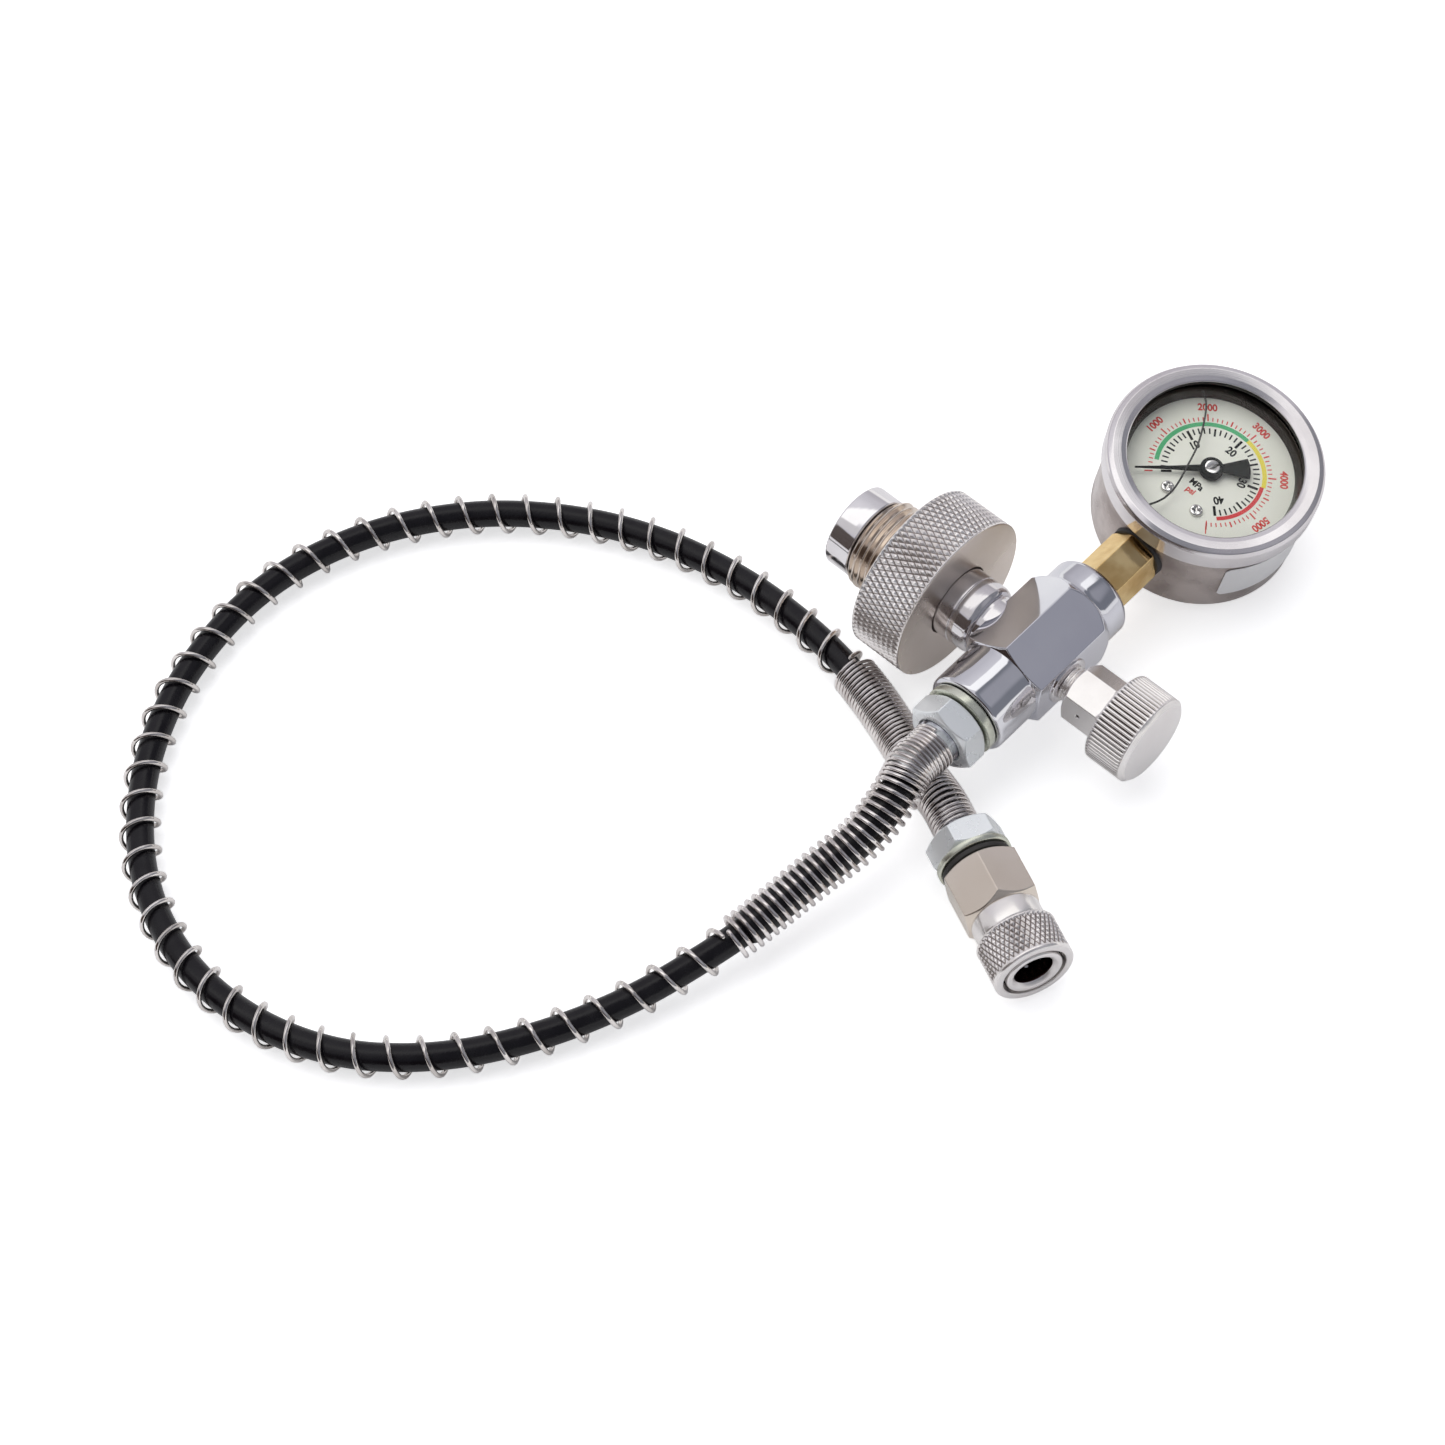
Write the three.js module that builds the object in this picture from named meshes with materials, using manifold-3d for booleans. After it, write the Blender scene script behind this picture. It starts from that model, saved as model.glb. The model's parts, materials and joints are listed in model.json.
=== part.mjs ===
// High-pressure filling adapter with gauge: a hex-bar valve body with a cylinder handwheel
// connector on one side, a bleed valve on the other, a liquid-filled gauge at one end and,
// at the other, a hose in guard springs that ends in a quick coupler.
// Millimetres, +Z up, table at z = 0. In the valve's own frame the bar runs along X (gauge at
// +X), the cross axis along Y (handwheel at +Y), and both cross at the frame's origin.
import * as THREE from 'three';
import { mergeVertices } from 'three/addons/utils/BufferGeometryUtils.js';
import Module from 'manifold-3d';

// ---------------------------------------------------------------- driving dimensions
const gap = 0.3;                    // between pieces that touch
const turnedSides = 26;             // facets of a large turned piece
const smallSides = 14;              // facets of a small turned piece
const ringSides = 18;               // facets of a coupler piece or a hidden ring

// how the valve lies: handwheel rim and gauge back both touch the table
const rollDeg = 3.2;                // handwheel side lifted
const gaugeTurnDeg = 9;             // gauge screwed in, turned towards the knob

// valve body
const barAcrossFlats = 21.5;
const barTurnDeg = 30;              // a corner of the hexagon points up
const barStart = -10;
const barEnd = 15;
const hoseCollarRadius = 10.3;
const hoseCollarEnd = -22.3;
const gaugeCollarRadius = 10.2;
const gaugeCollarEnd = 22.8;
const neckRadius = 8.7;
const neckEnd = 21.3;
const galleryRadius = 1.5;          // air passages in the body
const hosePortRadius = 5;
const hosePortDepth = 12;
const gaugePortRadius = 4.9;
const gaugePortDepth = 9;
const nosePortRadius = 5;
const nosePortEnd = 13;             // bottom of the nose port, along Y
const bleedPortRadius = 4;
const bleedPortEnd = -4.5;          // bottom of the bleed port, along Y

// handwheel and nose
const wheelRadius = 20.75;
const wheelStart = 21.6;
const wheelWidth = 14.2;
const wheelChamfer = 0.6;
const threadRadius = 11.45;
const threadPitch = 1.814;
const threadDepth = 1.0;
const threadEnd = 46.3;
const stemRadius = 7.4;             // nose stem that the handwheel turns on
const noseRadius = 10.45;
const noseEnd = 53.2;
const noseBoreRadius = 2.6;
const noseSealRadius = 8.0;         // pitch radius of the face seal
const noseSealWire = 1.1;

// gauge, in its own frame: Z out of the dial, stem along -X
const gaugeX = 61.7;                // case axis from the cross axis
const caseRadius = 24.3;
const caseWall = 0.8;
const caseBack = 13;                // back face behind the stem axis
const caseRim = 9.2;                // open rim in front of the stem axis
const caseFillet = 2.5;
const bezelRadius = 25.8;
const bezelOpening = 21.1;
const bezelFront = 14.6;
const bezelLip = 1.7;
const bezelSkirt = 4.5;             // how far the bezel reaches back over the case
const lensThickness = 1.8;
const gasketThickness = 1.0;
const gasketWidth = 2.2;
const dialRadius = 21.3;
const dialThickness = 0.5;
const dialFront = 7.8;
const stemHexAcrossFlats = 12;
const stemHoleRadius = 5.2;
const labelTurnStart = -130;        // the blank label wraps round the case's near side
const labelTurnEnd = -70;
const labelLow = -6;
const labelHeight = 11.5;
const needleLength = 16.5;
const needleTail = 9.2;
const needleThickness = 0.4;
const needleHeight = 9.1;
const hubRadius = 2.6;
const sweepDeg = 270;
const sectorRadius = 11;
const pinionRadius = 2.2;
const sectorTravelDeg = sweepDeg * pinionRadius / sectorRadius;
const bourdonRadius = 17.2;
const fillPlugRadius = 3.2;

// bleed valve, along -Y
const bleedHexAcrossFlats = 13;
const bleedHexTurnDeg = -22;
const bleedHexStart = -14.3;
const bleedHexEnd = -24.2;
const bleedNeckRadius = 4.4;
const ventRadius = 0.55;
const ventY = -19;
const spindleRadius = 2;
const spindleTravel = 1.5;
const knobRadius = 11;
const knobStart = -24.8;
const knobEnd = -35.6;
const knobFlutes = 48;
const knobFluteDepth = 0.45;

// hose, springs and end fittings
const hoseRadius = 3.2;
const hoseSides = 8;
const nutAcrossFlats = 16;
const nutLength = 6.5;
const nutTurnDeg = 10;
const sealRadius = 9.1;
const sealThickness = 2.0;
const ferruleRadius = 3.9;
const ferruleLength = 8;
const ferruleFlangeRadius = 5.6;
const wireRadius = 0.5;
const openSpringRadius = 4.33;      // centre of the wire
const guardSpringRadius = 5.3;
const guardTipRadius = 4.75;
const couplerGuardRadius = 5.1;
const openTurns = 40;
const guardTurns = 20;
const couplerGuardTurns = 16;
const guardLength = 64;
const couplerGuardLength = 52;
const wireSides = 5;
const stepsPerTurn = 8;

// quick coupler, along its own axis from the back of its nut
const couplerTiltDeg = 1.2;         // it lies on its hexagon with the hose end lower
const couplerAngleDeg = -114.7;
const couplerStart = [-42.3, -15.7];
const couplerNutAcrossFlats = 16;
const couplerNutTurnDeg = -7;
const couplerNutLength = 6.3;
const couplerFlangeRadius = 8.8;
const couplerFlangeEnd = 7.8;
const couplerSealEnd = 9.4;
const couplerSealRadius = 8.3;
const couplerHexAcrossFlats = 17;
const couplerHexTurnDeg = 34.4;
const couplerHexEnd = 22.8;
const couplerCollarRadius = 8.3;
const couplerCollarEnd = 28;
const couplerNoseRadius = 6.65;
const couplerFace = 38.5;
const couplerBoreRadius = 4.5;
const couplerBoreEnd = 27;
const sleeveRadius = 9.4;
const sleeveTravel = 3;
const sleeveLandStart = 33.5;
const sleeveLandEnd = 35;
const sleeveOpening = 7.5;
const ballRadius = 1.2;
const ballRing = 5.25;
const ballPlace = 33.2;
const ballCount = 6;

// route of the hose on the table, chosen point by point: x, y, z from the point on the table
// under the valve's cross axis; its first and last stretches are set by the two fittings
const looseRoute = [
  [-46.5, -1.2, 19.5], [-53.5, -1.8, 17.5], [-60.5, -1.3, 15.5], [-70.2, 1, 13],
  [-81, 3.2, 10.8], [-91.2, 5.2, 9.1], [-102.5, 8.4, 7.5], [-116, 12.9, 6.1],
  [-129.2, 18.8, 5.2], [-141.4, 25.7, 4.95], [-152.2, 33.6, 4.95], [-161.4, 42.8, 4.95],
  [-168.8, 53.2, 4.95], [-174.2, 66, 4.95], [-176.9, 80.2, 4.95], [-176.6, 95, 4.95],
  [-173, 109.2, 4.95], [-166.7, 121.9, 4.95], [-158, 133, 4.95], [-147.4, 142.6, 4.95],
  [-136, 149.7, 4.95], [-125.2, 154.4, 4.95], [-113.7, 157.4, 4.95], [-101.8, 158.8, 4.95],
  [-90, 158.1, 4.95], [-77.9, 155, 4.95], [-66.1, 149.7, 4.95], [-55, 142.2, 4.95],
  [-44.6, 132.4, 4.95], [-35.8, 120.7, 4.95], [-28.7, 107.6, 4.95], [-23.8, 94, 4.95],
  [-21, 80.6, 5], [-20, 66.9, 5.45], [-20.5, 52.8, 5.75], [-22.3, 38.8, 5.75],
  [-25.6, 25.8, 5.8], [-30, 13.4, 5.85], [-34.2, 3.4, 6.7],
];

const routeNutHeight = 20.5107;     // height of the hose nut's end that this route starts from
const carriedPoints = 9;            // first points, which rise with the nut

// ---------------------------------------------------------------- materials
const finish = (color, roughness, metalness) => () =>
  new THREE.MeshStandardMaterial({ color, roughness, metalness });
const chrome = finish(0xc9ccd4, 0.12, 1);
const nickel = finish(0xcbbfb4, 0.28, 1);
const zinc = finish(0xc2c8c6, 0.35, 1);
const brass = finish(0xc39a4a, 0.3, 1);
const stainless = finish(0xb5aba4, 0.3, 1);
const springSteel = finish(0xaaa6a2, 0.3, 1);
const blackRubber = finish(0x14140f, 0.6, 0);
const hoseBlack = finish(0x0f1014, 0.35, 0);
const clearPlastic = finish(0xe8f0ee, 0.05, 0);
const dialPaint = finish(0xd9e3cf, 0.6, 0);
const blackPaint = finish(0x161616, 0.5, 0);
const whiteLabel = finish(0xdedbd6, 0.6, 0);
const sealPlastic = finish(0xd8d4c8, 0.5, 0);

// ---------------------------------------------------------------- shape helpers
const rad = THREE.MathUtils.degToRad;

// one closed mesh: merged corners, no collapsed triangles, faces pointing out
function closed(geometry) {
  let shape = geometry.clone();
  shape.deleteAttribute('normal');
  shape.deleteAttribute('uv');
  shape = mergeVertices(shape, 1e-4);
  const place = shape.getAttribute('position');
  const corner = (i) => new THREE.Vector3().fromBufferAttribute(place, i);
  const kept = [];
  let volume = 0;
  for (let i = 0; i < shape.index.count; i += 3) {
    const [a, b, c] = [0, 1, 2].map((k) => shape.index.getX(i + k));
    if (a === b || b === c || c === a) continue;
    kept.push(a, b, c);
    volume += corner(a).dot(corner(b).cross(corner(c)));
  }
  if (volume < 0) kept.reverse();
  shape.setIndex(kept);
  return shape;
}

function toSolid(geometry) {
  const shape = closed(geometry);
  return new wasm.Manifold(new wasm.Mesh({
    numProp: 3,
    vertProperties: new Float32Array(shape.getAttribute('position').array),
    triVerts: new Uint32Array(shape.index.array),
  }));
}

function toGeometry(solid) {
  const { vertProperties, triVerts } = solid.getMesh();
  const geometry = new THREE.BufferGeometry();
  geometry.setAttribute('position', new THREE.BufferAttribute(new Float32Array(vertProperties), 3));
  geometry.setIndex(Array.from(triVerts));
  return geometry;
}

function join(first, ...others) {
  return toGeometry(others.reduce((sum, next) => sum.add(toSolid(next)), toSolid(first)));
}

function cut(from, ...tools) {
  return toGeometry(tools.reduce((rest, tool) => rest.subtract(toSolid(tool)), toSolid(from)));
}

function common(first, second) {
  return toGeometry(toSolid(first).intersect(toSolid(second)));
}

// turned piece from [place along the axis, radius] points, first and last on the axis
// or the first repeated at the end for a ring; the axis is Y
function turned(profile, sides = turnedSides) {
  return new THREE.LatheGeometry(profile.map(([along, r]) => new THREE.Vector2(r, along)), sides);
}

function ring(start, end, inner, outer, sides = turnedSides) {
  return turned([[start, inner], [start, outer], [end, outer], [end, inner], [start, inner]], sides);
}

function rod(start, end, radius, sides = smallSides) {
  return turned([[start, 0], [start, radius], [end, radius], [end, 0]], sides);
}

// round wire ring about Y
function wireRing(along, radius, wire, sides = 24, wireFacets = 5) {
  const section = [];
  for (let i = 0; i <= wireFacets; i += 1) {
    const turn = (i % wireFacets) * 2 * Math.PI / wireFacets;
    section.push([along + wire * Math.sin(turn), radius + wire * Math.cos(turn)]);
  }
  return turned(section, sides);
}

const alongX = (geometry) => geometry.rotateZ(-Math.PI / 2);
const alongZ = (geometry) => geometry.rotateX(Math.PI / 2);

// hexagonal bar about Y, a flat facing +Z before it is turned about the axis
function hexBar(start, end, acrossFlats, turnDeg = 0) {
  const bar = new THREE.CylinderGeometry(acrossFlats / Math.sqrt(3), acrossFlats / Math.sqrt(3),
    end - start, 6);
  return bar.rotateY(rad(30 + turnDeg)).translate(0, (start + end) / 2, 0);
}

// hexagonal bar with both ends turned to a chamfer that leaves the flats' round outlines
function chamferedHex(start, end, acrossFlats, turnDeg, chamfer = 1, sides = 24) {
  const inner = acrossFlats / 2 - 0.15;
  const outer = acrossFlats / Math.sqrt(3) + 0.2;
  const envelope = turned([[start, 0], [start, inner], [start + chamfer, outer],
    [end - chamfer, outer], [end, inner], [end, 0]], sides);
  return common(hexBar(start, end, acrossFlats, turnDeg), envelope);
}

// flat piece from an outline in the XY plane
function plate(outline, bottom, thickness, holes = []) {
  const shape = Array.isArray(outline)
    ? new THREE.Shape(outline.map(([x, y]) => new THREE.Vector2(x, y))) : outline;
  shape.holes = holes.map(([x, y, r]) => new THREE.Path().absarc(x, y, r, 0, 2 * Math.PI, true));
  const flat = new THREE.ExtrudeGeometry(shape,
    { depth: thickness, bevelEnabled: false, curveSegments: 5 });
  return flat.translate(0, 0, bottom);
}

const wasm = await Module();
wasm.setup();

const object = new THREE.Group();
const valve = new THREE.Group();
const gauge = new THREE.Group();
const coupler = new THREE.Group();
const cordPieces = [];

function add(group, name, geometry, material, onCord = false) {
  const mesh = new THREE.Mesh(closed(geometry), material());
  mesh.name = name;
  group.add(mesh);
  if (onCord) cordPieces.push(mesh);
  return mesh;
}

// ---------------------------------------------------------------- valve body
function makeValveBody() {
  const shoulder = barAcrossFlats / 2 - 0.3;
  const corner = barAcrossFlats / Math.sqrt(3) + 0.2;
  const endTurning = 2.2;
  const bar = common(
    alongX(hexBar(barStart, barEnd, barAcrossFlats)).rotateX(rad(barTurnDeg)),
    alongX(turned([[barStart, 0], [barStart, shoulder], [barStart + endTurning, corner],
      [barEnd - endTurning, corner], [barEnd, shoulder], [barEnd, 0]])),
  );
  const collars = alongX(turned([
    [hoseCollarEnd, 0], [hoseCollarEnd, hoseCollarRadius - 0.7],
    [hoseCollarEnd + 0.7, hoseCollarRadius], [barStart + 0.5, hoseCollarRadius],
    [barEnd - 0.5, gaugeCollarRadius], [gaugeCollarEnd - 1.6, gaugeCollarRadius],
    [gaugeCollarEnd - 0.5, gaugeCollarRadius - 0.6], [gaugeCollarEnd, gaugeCollarRadius - 1.8],
    [gaugeCollarEnd, 0]]));
  const neckFlare = barAcrossFlats / 2 + 0.2;
  const neck = turned([[0, 0], [0, neckRadius + 1], [neckFlare, neckRadius + 1],
    [neckFlare + 1.2, neckRadius + 0.3], [neckFlare + 2.4, neckRadius],
    [neckEnd - 0.4, neckRadius], [neckEnd, neckRadius - 0.4], [neckEnd, 0]]);
  const solid = join(bar, collars, neck);
  const hosePort = alongX(rod(hoseCollarEnd - 1, hoseCollarEnd + hosePortDepth, hosePortRadius));
  const gaugePort = alongX(rod(gaugeCollarEnd - gaugePortDepth, gaugeCollarEnd + 1, gaugePortRadius));
  const mainGallery = alongX(rod(hoseCollarEnd + 1, gaugeCollarEnd - 1, galleryRadius, 12));
  const nosePort = rod(nosePortEnd, neckEnd + 1, nosePortRadius);
  const bleedPort = rod(-barAcrossFlats / 2 - 1, bleedPortEnd, bleedPortRadius);
  const crossGallery = rod(bleedPortEnd - 1, nosePortEnd + 1, galleryRadius, 12);
  return cut(solid, hosePort, gaugePort, mainGallery, nosePort, bleedPort, crossGallery);
}

// ---------------------------------------------------------------- cylinder connector
function makeHandwheel() {
  const wheelEnd = wheelStart + wheelWidth;
  const root = threadRadius - threadDepth;
  const profile = [
    [wheelStart, neckRadius + gap], [wheelStart, wheelRadius - wheelChamfer],
    [wheelStart + wheelChamfer, wheelRadius], [wheelEnd - wheelChamfer, wheelRadius],
    [wheelEnd, wheelRadius - wheelChamfer], [wheelEnd, root],
  ];
  const crests = Math.floor((threadEnd - wheelEnd) / threadPitch);
  const firstCrest = threadEnd - crests * threadPitch;
  for (let i = 0; i < crests; i += 1) {
    const start = firstCrest + i * threadPitch;
    profile.push([start, root], [start + threadPitch * 0.5, threadRadius]);
  }
  profile.push([threadEnd, root]);
  profile.push([threadEnd, stemRadius + gap], [wheelStart + 3, stemRadius + gap],
    [wheelStart + 3, neckRadius + gap], [wheelStart, neckRadius + gap]);
  return turned(profile);
}

function makeNose() {
  const spigot = nosePortRadius - gap;
  const outer = turned([
    [nosePortEnd + gap, 0], [nosePortEnd + gap, spigot], [neckEnd + gap, spigot],
    [neckEnd + gap, stemRadius], [threadEnd + gap, stemRadius], [threadEnd + gap, noseRadius],
    [noseEnd - 0.8, noseRadius], [noseEnd, noseRadius - 0.8], [noseEnd, 0]]);
  const bore = rod(nosePortEnd - 1, noseEnd + 1, galleryRadius);
  const mouth = rod(neckEnd + 4, noseEnd + 1, noseBoreRadius);
  const sealGroove = ring(noseEnd - noseSealWire * 1.6, noseEnd + 1,
    noseSealRadius - noseSealWire - gap, noseSealRadius + noseSealWire + gap);
  return cut(outer, bore, mouth, sealGroove);
}

function addConnector() {
  add(valve, 'din_handwheel', makeHandwheel(), nickel);
  add(valve, 'connector_nose', makeNose(), chrome);
  add(valve, 'nose_face_seal', wireRing(noseEnd - noseSealWire * 0.5, noseSealRadius, noseSealWire),
    blackRubber);
  add(valve, 'inlet_filter', rod(neckEnd + 4 + gap, neckEnd + 7, noseBoreRadius - gap), brass);
}

// ---------------------------------------------------------------- bleed valve
function makeBleedHousing() {
  const hex = chamferedHex(bleedHexEnd, bleedHexStart, bleedHexAcrossFlats, bleedHexTurnDeg, 0.9);
  const spigotEnd = bleedPortEnd - gap;
  const neck = turned([[bleedHexStart - 1, 0], [bleedHexStart - 1, bleedNeckRadius],
    [-barAcrossFlats / 2 - gap, bleedNeckRadius], [-barAcrossFlats / 2 - gap, bleedPortRadius - gap],
    [spigotEnd, bleedPortRadius - gap], [spigotEnd, 0]], smallSides);
  const spindleBore = rod(bleedHexEnd - 1, bleedPortEnd - 4, spindleRadius + gap, 16);
  const seatBore = rod(bleedPortEnd - 5, bleedPortEnd + 1, 0.9, 12);
  const packing = rod(bleedHexEnd + 2.2, bleedHexEnd + 5, spindleRadius + 1.3, 16);
  const ventSide = rad(bleedHexTurnDeg - 60);
  const vent = rod(0, 10, ventRadius, 12).rotateX(Math.PI / 2)
    .rotateY(ventSide).translate(0, ventY, 0);
  return cut(join(hex, neck), spindleBore, seatBore, packing, vent);
}

function makeKnob() {
  const edge = 0.9;
  const body = turned([[knobEnd, 0], [knobEnd, knobRadius - edge], [knobEnd + edge, knobRadius],
    [knobStart - edge, knobRadius], [knobStart, knobRadius - edge], [knobStart, 0]],
  knobFlutes);
  const place = body.getAttribute('position');
  for (let i = 0; i < place.count; i += 1) {
    const r = Math.hypot(place.getX(i), place.getZ(i));
    if (r < knobRadius - 0.01) continue;
    const flute = Math.round(Math.atan2(place.getX(i), place.getZ(i)) / (2 * Math.PI / knobFlutes));
    const scale = flute % 2 === 0 ? 1 : (knobRadius - knobFluteDepth) / knobRadius;
    place.setX(i, place.getX(i) * scale);
    place.setZ(i, place.getZ(i) * scale);
  }
  return cut(body, rod(knobEnd + 3, knobStart + 1, spindleRadius + gap, 16));
}

function addBleedValve() {
  add(valve, 'bleed_housing', makeBleedHousing(), nickel);
  const tipStart = bleedPortEnd - 5 - gap;
  add(valve, 'bleed_tip_seal', rod(tipStart - 1.6, tipStart, spindleRadius - 0.2, 16), sealPlastic);
  add(valve, 'bleed_spindle', rod(knobEnd + 3 + gap, tipStart - 1.6 - gap, spindleRadius, 16),
    stainless);
  add(valve, 'bleed_packing', ring(bleedHexEnd + 2.5, bleedHexEnd + 4.7, spindleRadius + 0.25,
    spindleRadius + 1.05, 16), blackRubber);
  add(valve, 'bleed_knob', makeKnob(), nickel);
}

// ---------------------------------------------------------------- gauge
const stemEnd = gaugeCollarEnd - gaugeX;       // stem shoulder, along the gauge's X

function makeGaugeCase() {
  const inner = caseRadius - caseWall;
  const edge = [];
  const bends = 4;
  for (let i = 0; i <= bends; i += 1) {
    const turn = i * Math.PI / 2 / bends;
    edge.push([-caseBack + caseFillet - caseFillet * Math.cos(turn),
      caseRadius - caseFillet + caseFillet * Math.sin(turn)]);
  }
  const cup = alongZ(turned([[-caseBack, 0], ...edge, [caseRim, caseRadius], [caseRim, inner],
    [-caseBack + caseFillet, inner], [-caseBack + caseWall, inner - caseFillet],
    [-caseBack + caseWall, 0]])).rotateZ(-lowSide);
  const stemHole = alongX(rod(-caseRadius - 3, -caseRadius + 4, stemHoleRadius));
  const fillHole = alongX(rod(caseRadius - 4, caseRadius + 2, fillPlugRadius + gap));
  return cut(cup, stemHole, fillHole);
}

function makeBezel() {
  const skirt = caseRadius + gap;
  const under = bezelFront - bezelLip;
  return alongZ(turned([
    [bezelFront - bezelSkirt - bezelLip, skirt], [bezelFront - bezelSkirt - bezelLip, bezelRadius - 0.5],
    [bezelFront - bezelSkirt - bezelLip + 0.5, bezelRadius], [bezelFront - 1.6, bezelRadius],
    [bezelFront - 0.4, bezelRadius - 0.7], [bezelFront, bezelRadius - 1.9],
    [bezelFront - 0.2, bezelOpening + 0.9], [bezelFront - 1.2, bezelOpening],
    [under, bezelOpening], [under, skirt], [bezelFront - bezelSkirt - bezelLip, skirt]]))
    .rotateZ(-lowSide);
}

function makeNeedle() {
  const outline = [[-needleTail, -3], [-needleTail, 3], [-needleTail * 0.55, 1.7], [-2.4, 0.9],
    [needleLength * 0.3, 0.6], [needleLength, 0.15], [needleLength, -0.15],
    [needleLength * 0.3, -0.6], [-2.4, -0.9], [-needleTail * 0.55, -1.7]];
  const blade = plate(outline, needleHeight, needleThickness);
  const hub = alongZ(rod(dialFront + 0.5, needleHeight + 1.1, hubRadius, smallSides));
  return cut(join(blade, hub), alongZ(rod(dialFront, dialFront + 1, 0.9, 12)));
}

const platesFront = 2.6;            // back of the front movement plate
const plateThickness = 1.2;
const platesBack = -2.4;            // front of the rear movement plate
const sectorPivot = [6.6, -11.9];
const postPlaces = [[-7.5, 6], [7.5, 6]];
const movementOutline = [[-9.3, -16], [10, -16], [10, 9], [-9.3, 9]];
const tubeTip = [-4, -bourdonRadius + 0.6];

function makeSocket() {
  const hex = alongX(chamferedHex(stemEnd + gap, -caseRadius - gap, stemHexAcrossFlats,
    0, 0.8)).rotateX(rad(11));
  const shank = alongX(turned([
    [stemEnd - gaugePortDepth + 1.5, 0], [stemEnd - gaugePortDepth + 1.5, gaugePortRadius - gap],
    [stemEnd + 1, gaugePortRadius - gap], [stemEnd + 1, stemHoleRadius - 1],
    [-caseRadius + 6, stemHoleRadius - 1], [-caseRadius + 6, 0]], smallSides));
  const block = new THREE.BoxGeometry(11, 12, 5.4);
  block.translate(-caseRadius + 10, 0, -6.2);
  const bore = alongX(rod(stemEnd - gaugePortDepth, -caseRadius + 9, 1.2, 12));
  return cut(join(hex, shank, block), bore);
}

// flattened tube bent round the case axis, from the socket block to the tip
function makeBourdonTube() {
  const start = rad(152);
  const end = rad(-98);
  const steps = 20;
  const centre = new THREE.CatmullRomCurve3(Array.from({ length: steps + 1 }, (_, i) => {
    const turn = start + (end - start) * i / steps;
    return new THREE.Vector3(bourdonRadius * Math.cos(turn), bourdonRadius * Math.sin(turn), -6.4);
  }));
  const section = new THREE.Shape([[-2.4, -0.5], [-2, -1], [2, -1], [2.4, -0.5], [2.4, 0.5],
    [2, 1], [-2, 1], [-2.4, 0.5]].map(([u, v]) => new THREE.Vector2(u, v)));
  return new THREE.ExtrudeGeometry(section, { extrudePath: centre, steps: 24, bevelEnabled: false });
}

function makeSector() {
  const middle = Math.atan2(-sectorPivot[1], -sectorPivot[0]);
  const restTurn = middle - rad(sectorTravelDeg / 2);
  const half = rad(sectorTravelDeg / 2 + 4);
  const rim = sectorRadius;
  const outline = [];
  const point = (turn, r) => [sectorPivot[0] + r * Math.cos(turn), sectorPivot[1] + r * Math.sin(turn)];
  const rimSteps = 10;
  for (let i = 0; i <= rimSteps; i += 1) {
    outline.push(point(restTurn - half + 2 * half * i / rimSteps, rim));
  }
  outline.push(point(restTurn + half, rim - 2.2), point(restTurn + 0.5, 3), point(restTurn + 2.2, 2));
  outline.push(point(restTurn + Math.PI - 0.2, 4.4), point(restTurn + Math.PI + 0.2, 4.4));
  outline.push(point(restTurn - 2.2, 2), point(restTurn - 0.5, 3), point(restTurn - half, rim - 2.2));
  return plate(outline, -0.8, 1.6, [[...sectorPivot, 1]]);
}

function addMovement() {
  const [pivotX, pivotY] = sectorPivot;
  const postHoles = postPlaces.map(([x, y]) => [x, y, 0.9]);
  const shaftHole = [0, 0, 0.9];
  const pivotHole = [pivotX, pivotY, 0.9];
  add(gauge, 'movement_front_plate', plate(movementOutline, platesFront, plateThickness,
    [...postHoles, shaftHole, pivotHole]), brass);
  add(gauge, 'movement_rear_plate', plate(movementOutline,
    platesBack - plateThickness + 0.4, plateThickness - 0.4,
    [...postHoles, shaftHole, pivotHole]), brass);
  postPlaces.forEach(([x, y], i) => {
    const post = alongZ(turned([[platesBack - plateThickness, 0], [platesBack - plateThickness, 0.6],
      [platesBack + gap, 0.6], [platesBack + gap, 1.4], [platesFront - gap, 1.4],
      [platesFront - gap, 0.6], [platesFront + plateThickness, 0.6],
      [platesFront + plateThickness, 0]], 12));
    add(gauge, `movement_post_${i + 1}`, post.translate(x, y, 0), brass);
  });
  add(gauge, 'sector_gear', makeSector(), brass);
  const pivotPin = alongZ(rod(platesBack - plateThickness + 0.4, platesFront + plateThickness, 0.6, 12));
  add(gauge, 'sector_pivot_pin', pivotPin.translate(pivotX, pivotY, 0), stainless);
  const shaft = alongZ(turned([[platesBack - plateThickness + 0.4, 0],
    [platesBack - plateThickness + 0.4, 0.55], [-1.2, 0.55], [-1.2, pinionRadius - gap],
    [1.2, pinionRadius - gap], [1.2, 0.55], [dialFront + 0.7, 0.55], [dialFront + 0.7, 0]], 14));
  add(gauge, 'pinion_shaft', shaft, stainless);
  add(gauge, 'bourdon_tube', makeBourdonTube(), brass);
  add(gauge, 'tube_tip', new THREE.BoxGeometry(2.6, 2.6, 4.4)
    .translate(tubeTip[0], tubeTip[1], -6.2), brass);
}

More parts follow.
